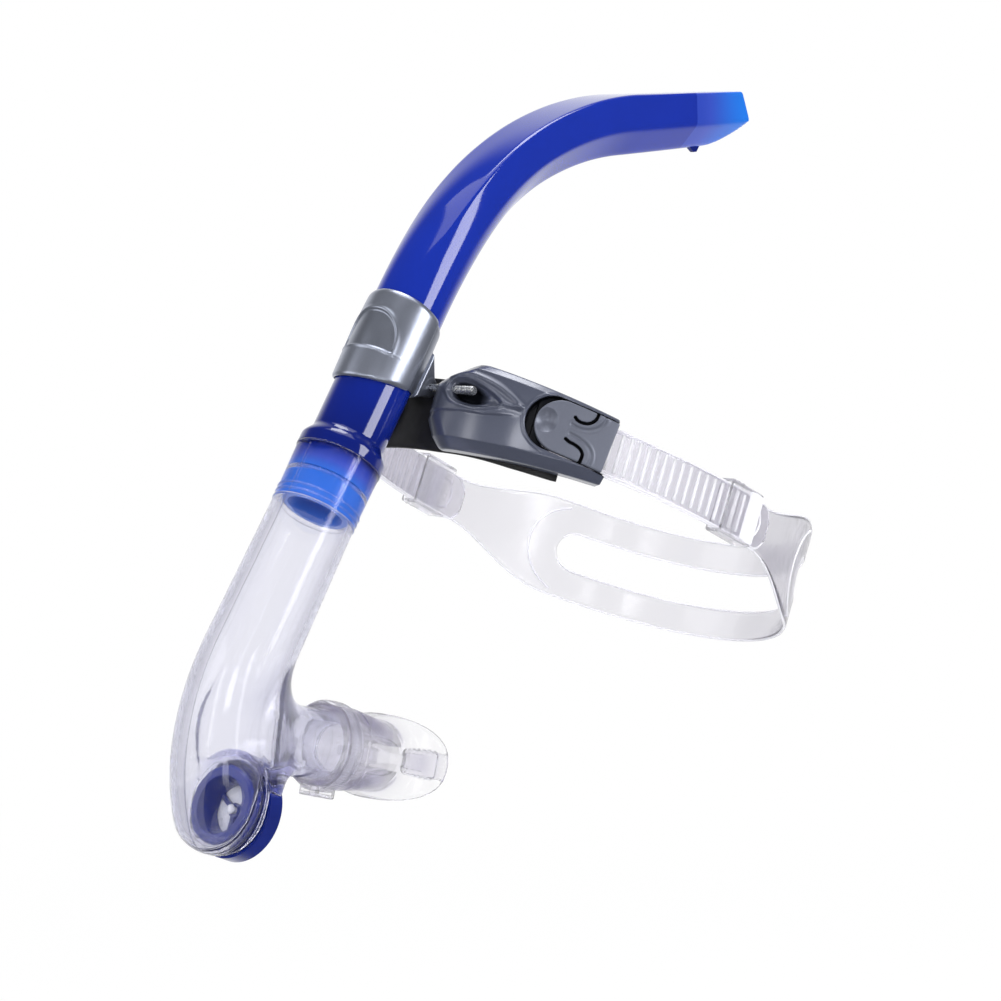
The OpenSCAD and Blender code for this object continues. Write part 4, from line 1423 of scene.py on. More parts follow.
@dataclass
class PurgeValve:
    """Blue seat with its spider, soft flap, seal and outer cap."""

    flap_radius: float = 11.0
    flap_z: float = 10.15
    flap_t: float = 0.7
    stem_radius: float = 1.2
    bead_radius: float = 1.9
    bead_z: float = 6.75
    bead_len: float = 1.6
    seal_radius: float = 14.5
    seal_section: float = 0.72
    seal_z: float = 5.0
    sides: int = 72

    def profile(self) -> list[tuple[float, float]]:
        """Radii and heights of the flap, from the bead's tip to the disc's middle.

        Returns:
            The radii and heights.
        """
        bead, tip, stem, edge = self.bead_z, self.bead_z - self.bead_len, self.stem_radius, self.flap_radius
        disc, top, axis = self.flap_z, self.flap_z + self.flap_t, 0.001
        rings = [(axis, tip), (0.9, tip + 0.15), (1.6, bead - 0.9), (self.bead_radius, bead - 0.35)]
        rings += [(self.bead_radius - 0.2, bead), (stem, bead), (stem, disc - 0.3), (stem + 0.3, disc)]
        rings += [(edge - 0.2, disc), (edge, disc + 0.15), (edge - 0.1, disc + 0.35)]
        return rings + [(7.0, top - 0.2), (2.8, top - 0.05), (axis, top)]

    def build(self, beads: NodeShape) -> list[Object]:
        """Builds the flap and the seal, and dresses the kept pieces.

        Args:
            beads: Tree that sweeps the beads.

        Returns:
            The pieces.
        """
        rings = [PURGE.ring(r, z, self.sides) for r, z in self.profile()]
        faces = grid_faces(len(rings), self.sides, False, True)
        flap = mesh_piece("purge_flap_disc", np.vstack(rings), faces, WHITE)
        face_out(flap)
        seat(flap, Body.FLAP, WHITE, "purge_membrane")
        ring = PURGE.ring(self.seal_radius, self.seal_z, self.sides)
        size = self.seal_section * MM
        seal = beads.run("purge_seal_ring", ring, chain(len(ring), True), NAVY_RUBBER, Radius=size, Sides=12)
        seat(seal, Body.TUBE, NAVY_RUBBER, "purge_seal")
        dress_node("purge_seat", CUP_BLUE)
        dress_node("purge_cap", CUP_BLUE)
        return [flap, seal]


@dataclass
class Mouthpiece:
    """Soft clear sleeve, neck, curved lip flange and bite tabs, with the tie round the sleeve."""

    start: float = 49.0
    grip: float = 9.0
    length: float = 32.0
    radius: float = 15.6
    wall: float = 2.3
    port_radius: float = 13.3
    neck_w: float = 30.0
    neck_h: float = 27.0
    flange_w: float = 58.0
    flange_h: float = 33.0
    flange_t: float = 2.0
    curve: float = 48.0
    bore_in: float = 6.0
    bore_w: float = 22.0
    bore_h: float = 14.0
    tab_gap: float = 14.0
    tab_w: float = 17.0
    tab_t: float = 6.0
    tab_len: float = 8.0
    tab_slant: float = 0.45
    ridge_h: float = 9.4
    tooth: float = 0.3
    tooth_pitch: float = 1.9
    sleeve_lines: tuple = (1.0, 12.5)
    line_h: float = 0.25
    tie_w: float = 7.0
    tie_t: float = 1.5
    tie_room: float = 0.1
    tie_ribs: int = 90
    rib_h: float = 0.12
    rib_half: float = 2.2
    lock: tuple = (4.5, 3.9, 5.5)
    oval_power: float = 2.6

    def oval(self, x: Array, y: Array, w: Value, h: Value) -> Array:
        """Rough distance to a full oval of a width and height.

        Args:
            x, y: Places in the section.
            w, h: Width and height.

        Returns:
            The distances, negative inside.
        """
        p = self.oval_power
        k = (np.abs(2 * x / w) ** p + np.abs(2 * y / h) ** p) ** (1 / p)
        return (k - 1) * np.minimum(w, h) / 2

    def tab_field(self, x: Array, y: Array, z: Array) -> Array:
        """Distance to the two toothed bite tabs.

        Args:
            x, y, z: Points in the port's frame.

        Returns:
            The distances, negative inside.
        """
        lip, mid = self.start + self.length, (self.tab_gap + self.tab_w) / 2
        teeth = self.tooth * np.cos(2 * np.pi * (np.abs(x) - mid) / self.tooth_pitch)
        side = np.abs(np.abs(x) - mid) - self.tab_w / 2
        slant = self.tab_slant * (np.abs(x) - self.tab_gap / 2)
        end = np.maximum(z - lip - self.tab_len - slant, lip - z)
        rise = mix(self.tab_t, self.ridge_h, ease((z - lip - 3) / 3)) / 2
        return smooth_max(np.abs(y) - rise - teeth, np.maximum(side, end), 0.9)

    def field(self, x: Array, y: Array, z: Array) -> Array:
        """Distance to the mouthpiece, in the port's frame.

        Args:
            x, y, z: Points in the port's frame.

        Returns:
            The distances, negative inside.
        """
        lip, grip_end, wide = self.start + self.length, self.start + self.grip, 2 * self.radius
        mid = grip_end + 4
        t = ease((z - mid) / (lip - mid))
        neck = self.oval(x, y, mix(wide, self.neck_w, t), mix(wide, self.neck_h, t))
        sleeve = np.maximum(smooth_max(neck, self.start - z, 1.0), z - lip - 1)
        bow = lip + self.curve - np.sqrt(np.maximum(self.curve**2 - x * x, 1)) + self.flange_t / 2
        rim = self.oval(x, y, self.flange_w, self.flange_h)
        plate = smooth_max(np.abs(z - bow) - self.flange_t / 2, rim, 1.4)
        solid = smooth_min(smooth_min(sleeve, plate, 4.0), self.tab_field(x, y, z), 1.6)
        socket = np.maximum(np.hypot(x, y) - self.port_radius, z - grip_end)
        u = ease((z - grip_end) / (lip - 3 - grip_end))
        throat = 2 * (self.radius - self.wall) - self.bore_in
        bore = self.oval(x, y, mix(throat, self.bore_w, u), mix(throat, self.bore_h, u))
        bore = np.maximum(bore, grip_end - 1 - z)
        solid = smooth_max(smooth_max(solid, -socket, 0.5), -bore, 0.8)
        lines = self.line_h * sum(ease(1.3 - np.abs(z - self.start - at) / 0.5) for at in self.sleeve_lines)
        return solid - lines * (np.hypot(x, y) > self.radius - 1.2)

    def tie_field(self, x: Array, y: Array, z: Array) -> Array:
        """Distance to the tie and its lock, in the port's frame.

        Args:
            x, y, z: Points in the port's frame.

        Returns:
            The distances, negative inside.
        """
        mid = self.start + self.grip / 2
        out = np.hypot(x, y)
        inner = self.radius + self.tie_room
        ribs = self.rib_h * np.cos(np.arctan2(y, x) * self.tie_ribs) * (np.abs(z - mid) < self.rib_half)
        band = np.maximum(inner - out, out - inner - self.tie_t - ribs)
        band = smooth_max(band, np.abs(z - mid) - self.tie_w / 2, 0.5)
        half, high, long = self.lock
        lock = box_distance(x, y, z, (-half, inner - 0.4, mid - long), (half, inner + high, mid + long), 0.8)
        mouth = box_distance(x, y, z, (-6, inner + 1.0, mid - 3.2), (6, inner + 2.4, mid + 3.2), 0.2)
        lock = smooth_max(np.maximum(lock, inner - out), -mouth, 0.3)
        return smooth_min(band, lock, 0.6)

    def build(self) -> list[Object]:
        """Builds the mouthpiece and its tie.

        Returns:
            The pieces.
        """
        low, high = (-30, -17.5, self.start - 1), (30, 17.5, self.start + self.length + 24)
        points, faces = surface_of(self.field, low, high, 0.6)
        soft = mesh_piece("mouthpiece_soft", PORT.out(points), faces, SILICONE, sharp=60)
        seat(soft, Body.TUBE, SILICONE, "mouthpiece")
        low, high = (-17.6, -17.6, self.start - 2), (17.6, 20, self.start + 11)
        points, faces = surface_of(self.tie_field, low, high, 0.4)
        tie = mesh_piece("mouthpiece_tie_band", PORT.out(points), faces, SILICONE, sharp=50)
        return [soft, seat(tie, Body.TUBE, SILICONE, "mouthpiece_tie")]


@dataclass
class TubeClamp:
    """Silver ring with a thumb recess, a stepped rear band and the hinge foot."""

    bore: float = 14.6
    radius: float = 16.3
    top: float = 16.4
    top_slope: float = 0.14
    low: float = 17.2
    slant: float = 16.0
    rear_depth: float = 0.85
    rear_shade: float = 0.3
    rear_start: float = 1.75
    recess_w: float = 24.6
    recess_h: float = 15.8
    recess_low: float = 7.7
    recess_depth: float = 0.6
    recess_power: float = 2.6
    recess_shade: float = 0.18
    foot_reach: float = 21.3
    foot_drop: float = 3.9
    foot_w: float = 15.0
    foot_top: float = 8.0
    foot_low: float = -12.0
    knuckle: float = 3.7
    axle_hole: float = 1.66
    box: tuple = ((-16.6, -16.6, -22.5), (16.6, 25.2, 18.9))
    step: float = 0.36

    def rear(self, x: Array, y: Array) -> Array:
        """Share of the step down to the rear band."""
        return ease((np.arctan2(np.abs(x), -y) - self.rear_start) / 0.06)

    def recess(self, x: Array, y: Array, z: Array) -> Array:
        """Distance to the outline of the thumb recess, a half oval on a straight base.

        Args:
            x, y, z: Points in the clamp's frame.

        Returns:
            The distances, negative inside.
        """
        v, p = z + self.recess_low, self.recess_power
        reach = np.abs(2 * x / self.recess_w) ** p + np.abs(np.maximum(v, 0) / self.recess_h) ** p
        return np.where(y < 0, smooth_max((reach ** (1 / p) - 1) * 10, -v, 0.5), 5)

    def foot_field(self, x: Array, y: Array, z: Array) -> Array:
        """Distance to the hinge foot and its knuckle.

        Args:
            x, y, z: Points in the clamp's frame.

        Returns:
            The distances, negative inside.
        """
        foot_in = self.bore + 0.6
        share = np.clip((y - foot_in) / (self.foot_reach - foot_in), 0, 1)
        tall = mix(self.foot_top, -self.foot_drop + self.knuckle, share)
        deep = mix(self.foot_low, -self.foot_drop - self.knuckle, share)
        side = np.abs(x) - self.foot_w / 2
        foot = smooth_max(most(z - tall, deep - z, foot_in - y, y - self.foot_reach), side, 1.0)
        return smooth_min(foot, smooth_max(self.pin(y, z) - self.knuckle, side, 0.8), 0.6)

    def pin(self, y: Array, z: Array) -> Array:
        """Distance from the axle's middle."""
        return np.hypot(y - self.foot_reach, z + self.foot_drop)

    def field(self, x: Array, y: Array, z: Array) -> Array:
        """Distance to the clamp, in its own frame.

        Args:
            x, y, z: Points in the clamp's frame.

        Returns:
            The distances, negative inside.
        """
        out = np.hypot(x, y)
        dome = 0.5 * (1 - ((z + 1) / 16.5) ** 2)
        hollow = self.recess(x, y, z)
        dip = self.recess_depth * ease(0.5 - hollow / 0.7)
        rim = raised(hollow - 0.55, 0.22, 0.4)
        line = raised(z + self.recess_low + 0.1, 0.2, 0.35) * ease((16 - np.abs(x)) / 3) * (y < 0)
        skin = out - self.radius + 0.3 - dome * 0.6 - rim - line * 0.6 + dip
        skin = skin + self.rear_depth * self.rear(x, y)
        lower = -self.low - z + y * math.tan(math.radians(self.slant))
        ring = smooth_max(smooth_max(skin, z - self.top + self.top_slope * y, 3.4), lower, 2.0)
        solid = smooth_min(ring, self.foot_field(x, y, z), 2.0)
        solid = smooth_max(solid, self.bore - out, 0.4)
        return np.maximum(solid, self.axle_hole - self.pin(y, z))

    def build(self) -> list[Object]:
        """Builds the clamp.

        Returns:
            The pieces.
        """
        points, faces = surface_of(self.field, *self.box, self.step)
        x, y, z = points.T
        # Painted shade: the thumb recess and the stepped rear band are darkened through the shade attribute.
        shade = 1 - self.recess_shade * ease(-self.recess(x, y, z) / 0.8) - self.rear_shade * self.rear(x, y)
        ring = mesh_piece("tube_clamp_ring", CLAMP.out(points), faces, SILVER, sharp=60)
        mark_points(ring, "shade", shade)
        return [seat(ring, Body.CLAMP, SILVER, "tube_clamp")]


@dataclass
class LeverShape:
    """Plate outline shared by a release lever and the pocket that it lies in."""

    start: float = 33.0
    end: float = 50.4
    half: float = 10.3
    rise: float = 2.4
    slope: float = 5.0
    inner: float = 10.2
    depth: float = 12.6

    @property
    def length(self) -> float:
        """Length of the plate round the head."""
        return float(HEAD.run(self.end) - HEAD.run(self.start))

    def local(self, u: Array, z: Array) -> tuple[Array, Array]:
        """Places along and across the plate.

        Args:
            u: Lengths round the head.
            z: Heights.

        Returns:
            Places along and across.
        """
        mid = (HEAD.run(self.start) + HEAD.run(self.end)) / 2
        c, s = math.cos(math.radians(self.slope)), math.sin(math.radians(self.slope))
        return (u - mid) * c - (z - self.rise) * s, (z - self.rise) * c + (u - mid) * s

    def outline(self, u: Array, z: Array, grow: float = 0.0, gap: float = 0.0) -> Array:
        """Distance to the plate's outline, a round inner end on straight sides.

        Args:
            u: Lengths round the head.
            z: Heights.
            grow: Room all round.
            gap: More at the round end.

        Returns:
            The distances, negative inside.
        """
        a, b = self.local(u, z)
        hub = -self.length / 2 + self.half - gap
        return np.where(a < hub, np.hypot(a - hub, b), np.abs(b)) - self.half - grow


LEVER = LeverShape()


@dataclass
class Wing:
    """Slate half of the forehead bracket: sculpted face, eye-shaped recess, lever pocket, strap channel.

    Outlines are places in degrees round the head and heights. Ridges and bevels are a height and a width.
    """

    side: Side
    inner: float = 2.9
    depth: float = 12.6
    outline: tuple = (
        (6.5, -6.0), (6.5, 9.0), (10.5, 15.0), (17.0, 19.6), (51.0, 13.6), (51.0, -13.0), (10.5, -16.0)
    )
    eye: tuple = (
        (11.4, 5.8), (11.9, 9.4), (13.8, 11.4), (17.2, 11.2), (21.2, 8.9),
        (25.0, 5.2), (22.6, 2.7), (19.2, 1.2), (15.6, 1.3), (12.9, 2.8),
    )
    fin: tuple = ((11.0, 11.6), (13.6, 13.4), (17.1, 13.6), (22.2, 11.8), (26.2, 8.9), (29.4, 5.5))
    tail: tuple = ((24.6, 5.4), (27.0, 5.0), (29.4, 5.3))
    crease: tuple = ((8.0, -3.0), (11.1, -2.1), (16.1, -1.2), (21.5, -0.7), (27.5, 1.2), (33.0, 2.5))
    crown: float = 0.0035
    crown_z: float = 2.0
    top_bevel: tuple = (2.3, 3.0)
    low_bevel: tuple = (3.2, 4.0)
    nose_bevel: tuple = (5.0, 7.5)
    crease_step: tuple = (0.55, 0.9)
    crease_end: float = 30.0
    fin_ridge: tuple = (0.8, 1.2)
    tail_ridge: tuple = (0.6, 0.9)
    eye_lip: tuple = (0.4, 0.6)
    eye_rim: float = 1.5
    eye_depth: float = 6.8
    eye_ramp: float = 16.5
    # Turn round the head from which the eye gets painted shade.
    eye_shade_start: float = 12.3
    pocket_lip: tuple = (0.3, 0.55)
    pocket_lip_end: float = 38.0
    pocket_floor: float = 8.5
    pocket_deep: float = 6.5
    pocket_gap: float = 3.2
    pocket_room: float = 0.45
    channel_start: float = 34.3
    channel_low: float = -8.45
    channel_high: float = 10.85
    channel_in: float = 1.45
    box: tuple = ((5.0, -13.0, -16.5), (70.5, 38.0, 20.5))
    step: float = 0.42

    def edges(self, u: Array, z: Array) -> list[Array]:
        """Distances to the outline's sides, negative inside.

        Args:
            u: Lengths round the head.
            z: Heights.

        Returns:
            The distances, side by side.
        """
        loop = HEAD.flat(self.outline)
        out = []
        for (au, az), (bu, bz) in zip(loop, loop[1:] + loop[:1]):
            du, dz = bu - au, bz - az
            out.append((-(u - au) * dz + (z - az) * du) / math.hypot(du, dz))
        return out

    def eye_distance(self, u: Array, z: Array) -> Array:
        """Distance to the eye's outline, negative inside."""
        return polygon_distance(u, z, curve_through(HEAD.flat(self.eye + self.eye[:1]), 6)[:-1])

    def pocket(self, u: Array, z: Array) -> Array:
        """Distance to the lever pocket's outline, negative inside."""
        return LEVER.outline(u, z, self.pocket_room, self.pocket_gap)

    @staticmethod
    def bevel(d: Array, width: float) -> Array:
        """Share of a bevel along an edge, from its distance."""
        return np.clip(1 + d / width, 0, 1)

    def face(self, u: Array, z: Array, sides: Sequence[Array]) -> Array:
        """Depth of the sculpted face off the head.

        Args:
            u: Lengths round the head.
            z: Heights.
            sides: Distances to the outline's sides.

        Returns:
            The depths.
        """
        nose, nose_top, brow, top, _, low, chin = sides
        face = self.depth - self.crown * (z - self.crown_z) ** 2
        for d, (height, width) in ((np.maximum(top, brow), self.top_bevel), (low, self.low_bevel)):
            face = face - height * self.bevel(d, width)
        drop, width = self.nose_bevel
        face = face - drop * self.bevel(most(nose, nose_top, chin), width) ** 2
        above = z - np.interp(u, *zip(*HEAD.flat(self.crease)))
        height, width = self.crease_step
        face = face + height * (ease(above / width + 0.5) - 0.5) * ease((HEAD.run(self.crease_end) - u) / 10)
        face = face + raised(path_distance(u, z, self.fin, 6), *self.fin_ridge)
        face = face + raised(path_distance(u, z, self.tail, 4), *self.tail_ridge)
        eye, rim = self.eye_distance(u, z), self.eye_rim
        scoop = mix(self.eye_depth, rim, ease((u - HEAD.run(self.eye_ramp)) / 11))
        face = face + raised(eye - 0.5, *self.eye_lip) - rim * ease(0.3 - eye / rim)
        face = face - (scoop - rim) * ease(0.3 - (eye + rim) / 1.9)
        lip = raised(self.pocket(u, z) - 0.7, *self.pocket_lip)
        return face + lip * ease((HEAD.run(self.pocket_lip_end) - u) / 5)

    def field(self, x: Array, y: Array, z: Array) -> Array:
        """Distance to the left wing, in the band's frame.

        Args:
            x, y, z: Points in the band's frame.

        Returns:
            The distances, negative inside.
        """
        turn, d = HEAD.unroll(x, y)
        u = HEAD.run(turn)
        sides = self.edges(u, z)
        nose, nose_top, brow, top, back, low, chin = sides
        outline = smooth_max(smooth_max(nose, nose_top, 3.0), smooth_max(brow, top, 2.0), 2.0)
        outline = smooth_max(outline, smooth_max(low, chin, 3.0), 2.5)
        outline = smooth_max(outline, back, 0.6)
        solid = smooth_max(smooth_max(outline, d - self.face(u, z, sides), 0.8), self.inner - d, 0.5)
        floor = np.where(turn < self.channel_start - 1.5, self.pocket_deep, self.pocket_floor)
        solid = smooth_max(solid, -np.maximum(self.pocket(u, z), floor - d), 0.4)
        ahead = HEAD.run(self.channel_start + 1.7) - u
        across = most(self.channel_low - z, z - self.channel_high, LEVER.outline(u, z, -0.4))
        return smooth_max(solid, -most(ahead, across, self.channel_in - d, d - LEVER.inner), 0.3)

    def shade(self, x: Array, y: Array, z: Array) -> Array:
        """Painted shade: how far the colour is darkened in the eye, the pocket and the strap channel.

        Args:
            x, y, z: Points in the band's frame.

        Returns:
            From 0, fully shaded, to 1, plain.
        """
        turn, d = HEAD.unroll(x, y)
        u = HEAD.run(turn)
        # Painted shade: darker with depth in the eye beyond its left wall, near black in the pocket and the
        # channel under the lever.
        dark = (self.eye_distance(u, z) < 0.4) & (d > 5) & (u > HEAD.run(self.eye_shade_start))
        shade = np.where(dark, np.clip((d - 7.5) / 3.0, 0.12, 1), 1)
        return np.where((self.pocket(u, z) < 0.3) & (d < 11.7), 0.08, shade)

    def build(self) -> list[Object]:
        """Builds the wing.

        Returns:
            The pieces.
        """
        points, faces = surface_of(self.field, *self.box, self.step)
        shade = self.shade(*points.T)
        points, faces = mirrored(points, faces, self.side)
        name = f"{self.side.word}_wing"
        piece = mesh_piece(f"{name}_shell", BAND.out(points), faces, SLATE, sharp=50)
        mark_points(piece, "shade", shade)
        return [seat(piece, Body.BAND, SLATE, name)]


@dataclass
class ReleaseLever:
    """Slate lever plate with a finger dimple, two springy slots and shallow grooves."""

    side: Side
    dimple_turn: float = 35.4
    dimple_z: float = 3.6
    dimple: float = 4.3
    dimple_depth: float = 1.9
    slot_w: float = 1.2
    upper_slot: tuple = (
        (41.2, 7.9), (41.9, 7.0), (43.0, 6.7), (44.2, 7.1), (45.1, 8.3), (45.7, 10.0), (46.0, 14.0)
    )
    lower_slot: tuple = (
        (40.5, -1.2), (41.4, -1.9), (42.7, -2.3), (44.0, -3.2), (44.8, -4.7), (44.9, -6.6), (44.4, -11.0)
    )
    upper_groove: tuple = ((41.0, 4.9), (42.8, 4.3), (44.9, 5.0), (46.6, 7.0), (47.6, 10.0), (47.9, 14.0))
    lower_groove: tuple = ((41.2, 1.2), (43.0, 0.6), (45.0, -0.8), (46.4, -3.2), (46.8, -6.0), (46.4, -11.0))
    groove_size: tuple = (0.4, 0.5)
    groove_lip: tuple = (0.18, 0.45)
    # Painted shade: near black in the slots, which keep a thin floor, and darker on the plate's inner face.
    slot_shade: float = 0.03
    inner_shade: float = 0.2
    box: tuple = ((45.5, 1.0, -11.0), (70.5, 38.0, 15.5))
    step: float = 0.3

    @staticmethod
    def nearer(u: Array, z: Array, *paths: Pairs) -> Array:
        """Distance to the nearest of some paths."""
        return reduce(np.minimum, [path_distance(u, z, path, 5) for path in paths])

    def slots(self, u: Array, z: Array) -> Array:
        """Distance to the middle of the nearer slot."""
        return self.nearer(u, z, self.upper_slot, self.lower_slot)

    def field(self, x: Array, y: Array, z: Array) -> Array:
        """Distance to the left lever, in the band's frame.

        Args:
            x, y, z: Points in the band's frame.

        Returns:
            The distances, negative inside.
        """
        turn, d = HEAD.unroll(x, y)
        u = HEAD.run(turn)
        along_plate, _ = LEVER.local(u, z)
        plate = smooth_max(LEVER.outline(u, z), along_plate - LEVER.length / 2, 0.5)
        wide, tall = self.dimple, self.dimple + 0.7
        reach = np.hypot((u - HEAD.run(self.dimple_turn)) / wide, (z - self.dimple_z) / tall)
        face = LEVER.depth - 0.05 - self.dimple_depth * np.clip(1 - reach**2, 0, 1)
        groove = self.nearer(u, z, self.upper_groove, self.lower_groove)
        face = face - raised(groove, *self.groove_size) + raised(groove - 1.1, *self.groove_lip)
        solid = smooth_max(smooth_max(plate, d - face, 0.7), LEVER.inner - d, 0.3)
        slot = np.maximum(self.slots(u, z) - self.slot_w / 2, LEVER.inner + 0.5 - d)
        return smooth_max(solid, -slot, 0.3)

    def shade(self, x: Array, y: Array, z: Array) -> Array:
        """Painted shade: how far the colour is darkened in the slots and on the inside.

        Args:
            x, y, z: Points in the band's frame.

        Returns:
            From 0, fully shaded, to 1, plain.
        """
        turn, d = HEAD.unroll(x, y)
        slot = self.slots(HEAD.run(turn), z)
        plain = np.where(d < LEVER.inner + 0.2, self.inner_shade, 1.0)
        return np.where((slot < self.slot_w / 2 + 0.2) & (d < LEVER.depth - 0.25), self.slot_shade, plain)

    def build(self) -> list[Object]:
        """Builds the lever.

        Returns:
            The pieces.
        """
        points, faces = surface_of(self.field, *self.box, self.step)
        shade = self.shade(*points.T)
        points, faces = mirrored(points, faces, self.side)
        name = f"{self.side.word}_release_lever"
        piece = mesh_piece(f"{name}_plate", BAND.out(points), faces, SLATE_SATIN, sharp=50)
        mark_points(piece, "shade", shade)
        return [seat(piece, self.side.body("lever"), SLATE_SATIN, name)]


@dataclass
class ForeheadPad:
    """Black rubber pad between the bracket and the forehead."""

    turn: float = 42.0
    lip_turn: float = 33.0
    lip_run: float = 2.5
    thickness: float = 2.8
    low: float = -16.0
    lip: float = -10.5
    high: float = 13.0
    corner_power: float = 5.0
    end_power: float = 24.0
    rows: int = 120
    around: int = 40

    def ring(self, turn: float) -> Array:
        """Rounded section of the pad at an angle round the head, thinner towards its ends.

        Args:
            turn: The angle in degrees.

        Returns:
            The ring's points in the band's frame.
        """
        a, p = circle(self.around), self.corner_power
        power = (np.abs(np.cos(a)) ** p + np.abs(np.sin(a)) ** p) ** (-1 / p)
        end = max(0.02, 1 - abs(turn / self.turn) ** self.end_power) ** 0.5
        swell = min(1, 1 + 0.03 * math.cos(math.radians(turn * 9)))
        depth = self.thickness / 2 + end * (self.thickness / 2 - 0.04) * power * np.sin(a)
        high = float(mix(self.high, self.lip, ease((abs(turn) - self.lip_turn) / self.lip_run)))
        half = (high - self.low) / 2 * mix(0.9, 1.0, end)
        tall = mix(self.low, high, 0.5) + half * power * np.cos(a) * swell
        return np.column_stack([HEAD.point(turn, depth), tall])

    def build(self) -> list[Object]:
        """Builds the pad as a rounded slab.

        Returns:
            The pieces.
        """
        rings = [self.ring(t) for t in self.turn * np.sin(np.linspace(-1, 1, self.rows) * np.pi / 2)]
        points = np.vstack(rings + [rings[0].mean(0, keepdims=True), rings[-1].mean(0, keepdims=True)])
        faces = grid_faces(self.rows, self.around, False, True)
        hub, last = self.rows * self.around, (self.rows - 1) * self.around
        faces += [(hub, (j + 1) % self.around, j) for j in range(self.around)]
        faces += [(hub + 1, last + j, last + (j + 1) % self.around) for j in range(self.around)]
        pad = mesh_piece("forehead_pad_rubber", BAND.out(points), faces, RUBBER, sharp=60)
        face_out(pad)
        seat(pad, Body.BAND, RUBBER, "forehead_pad")
        return [pad]


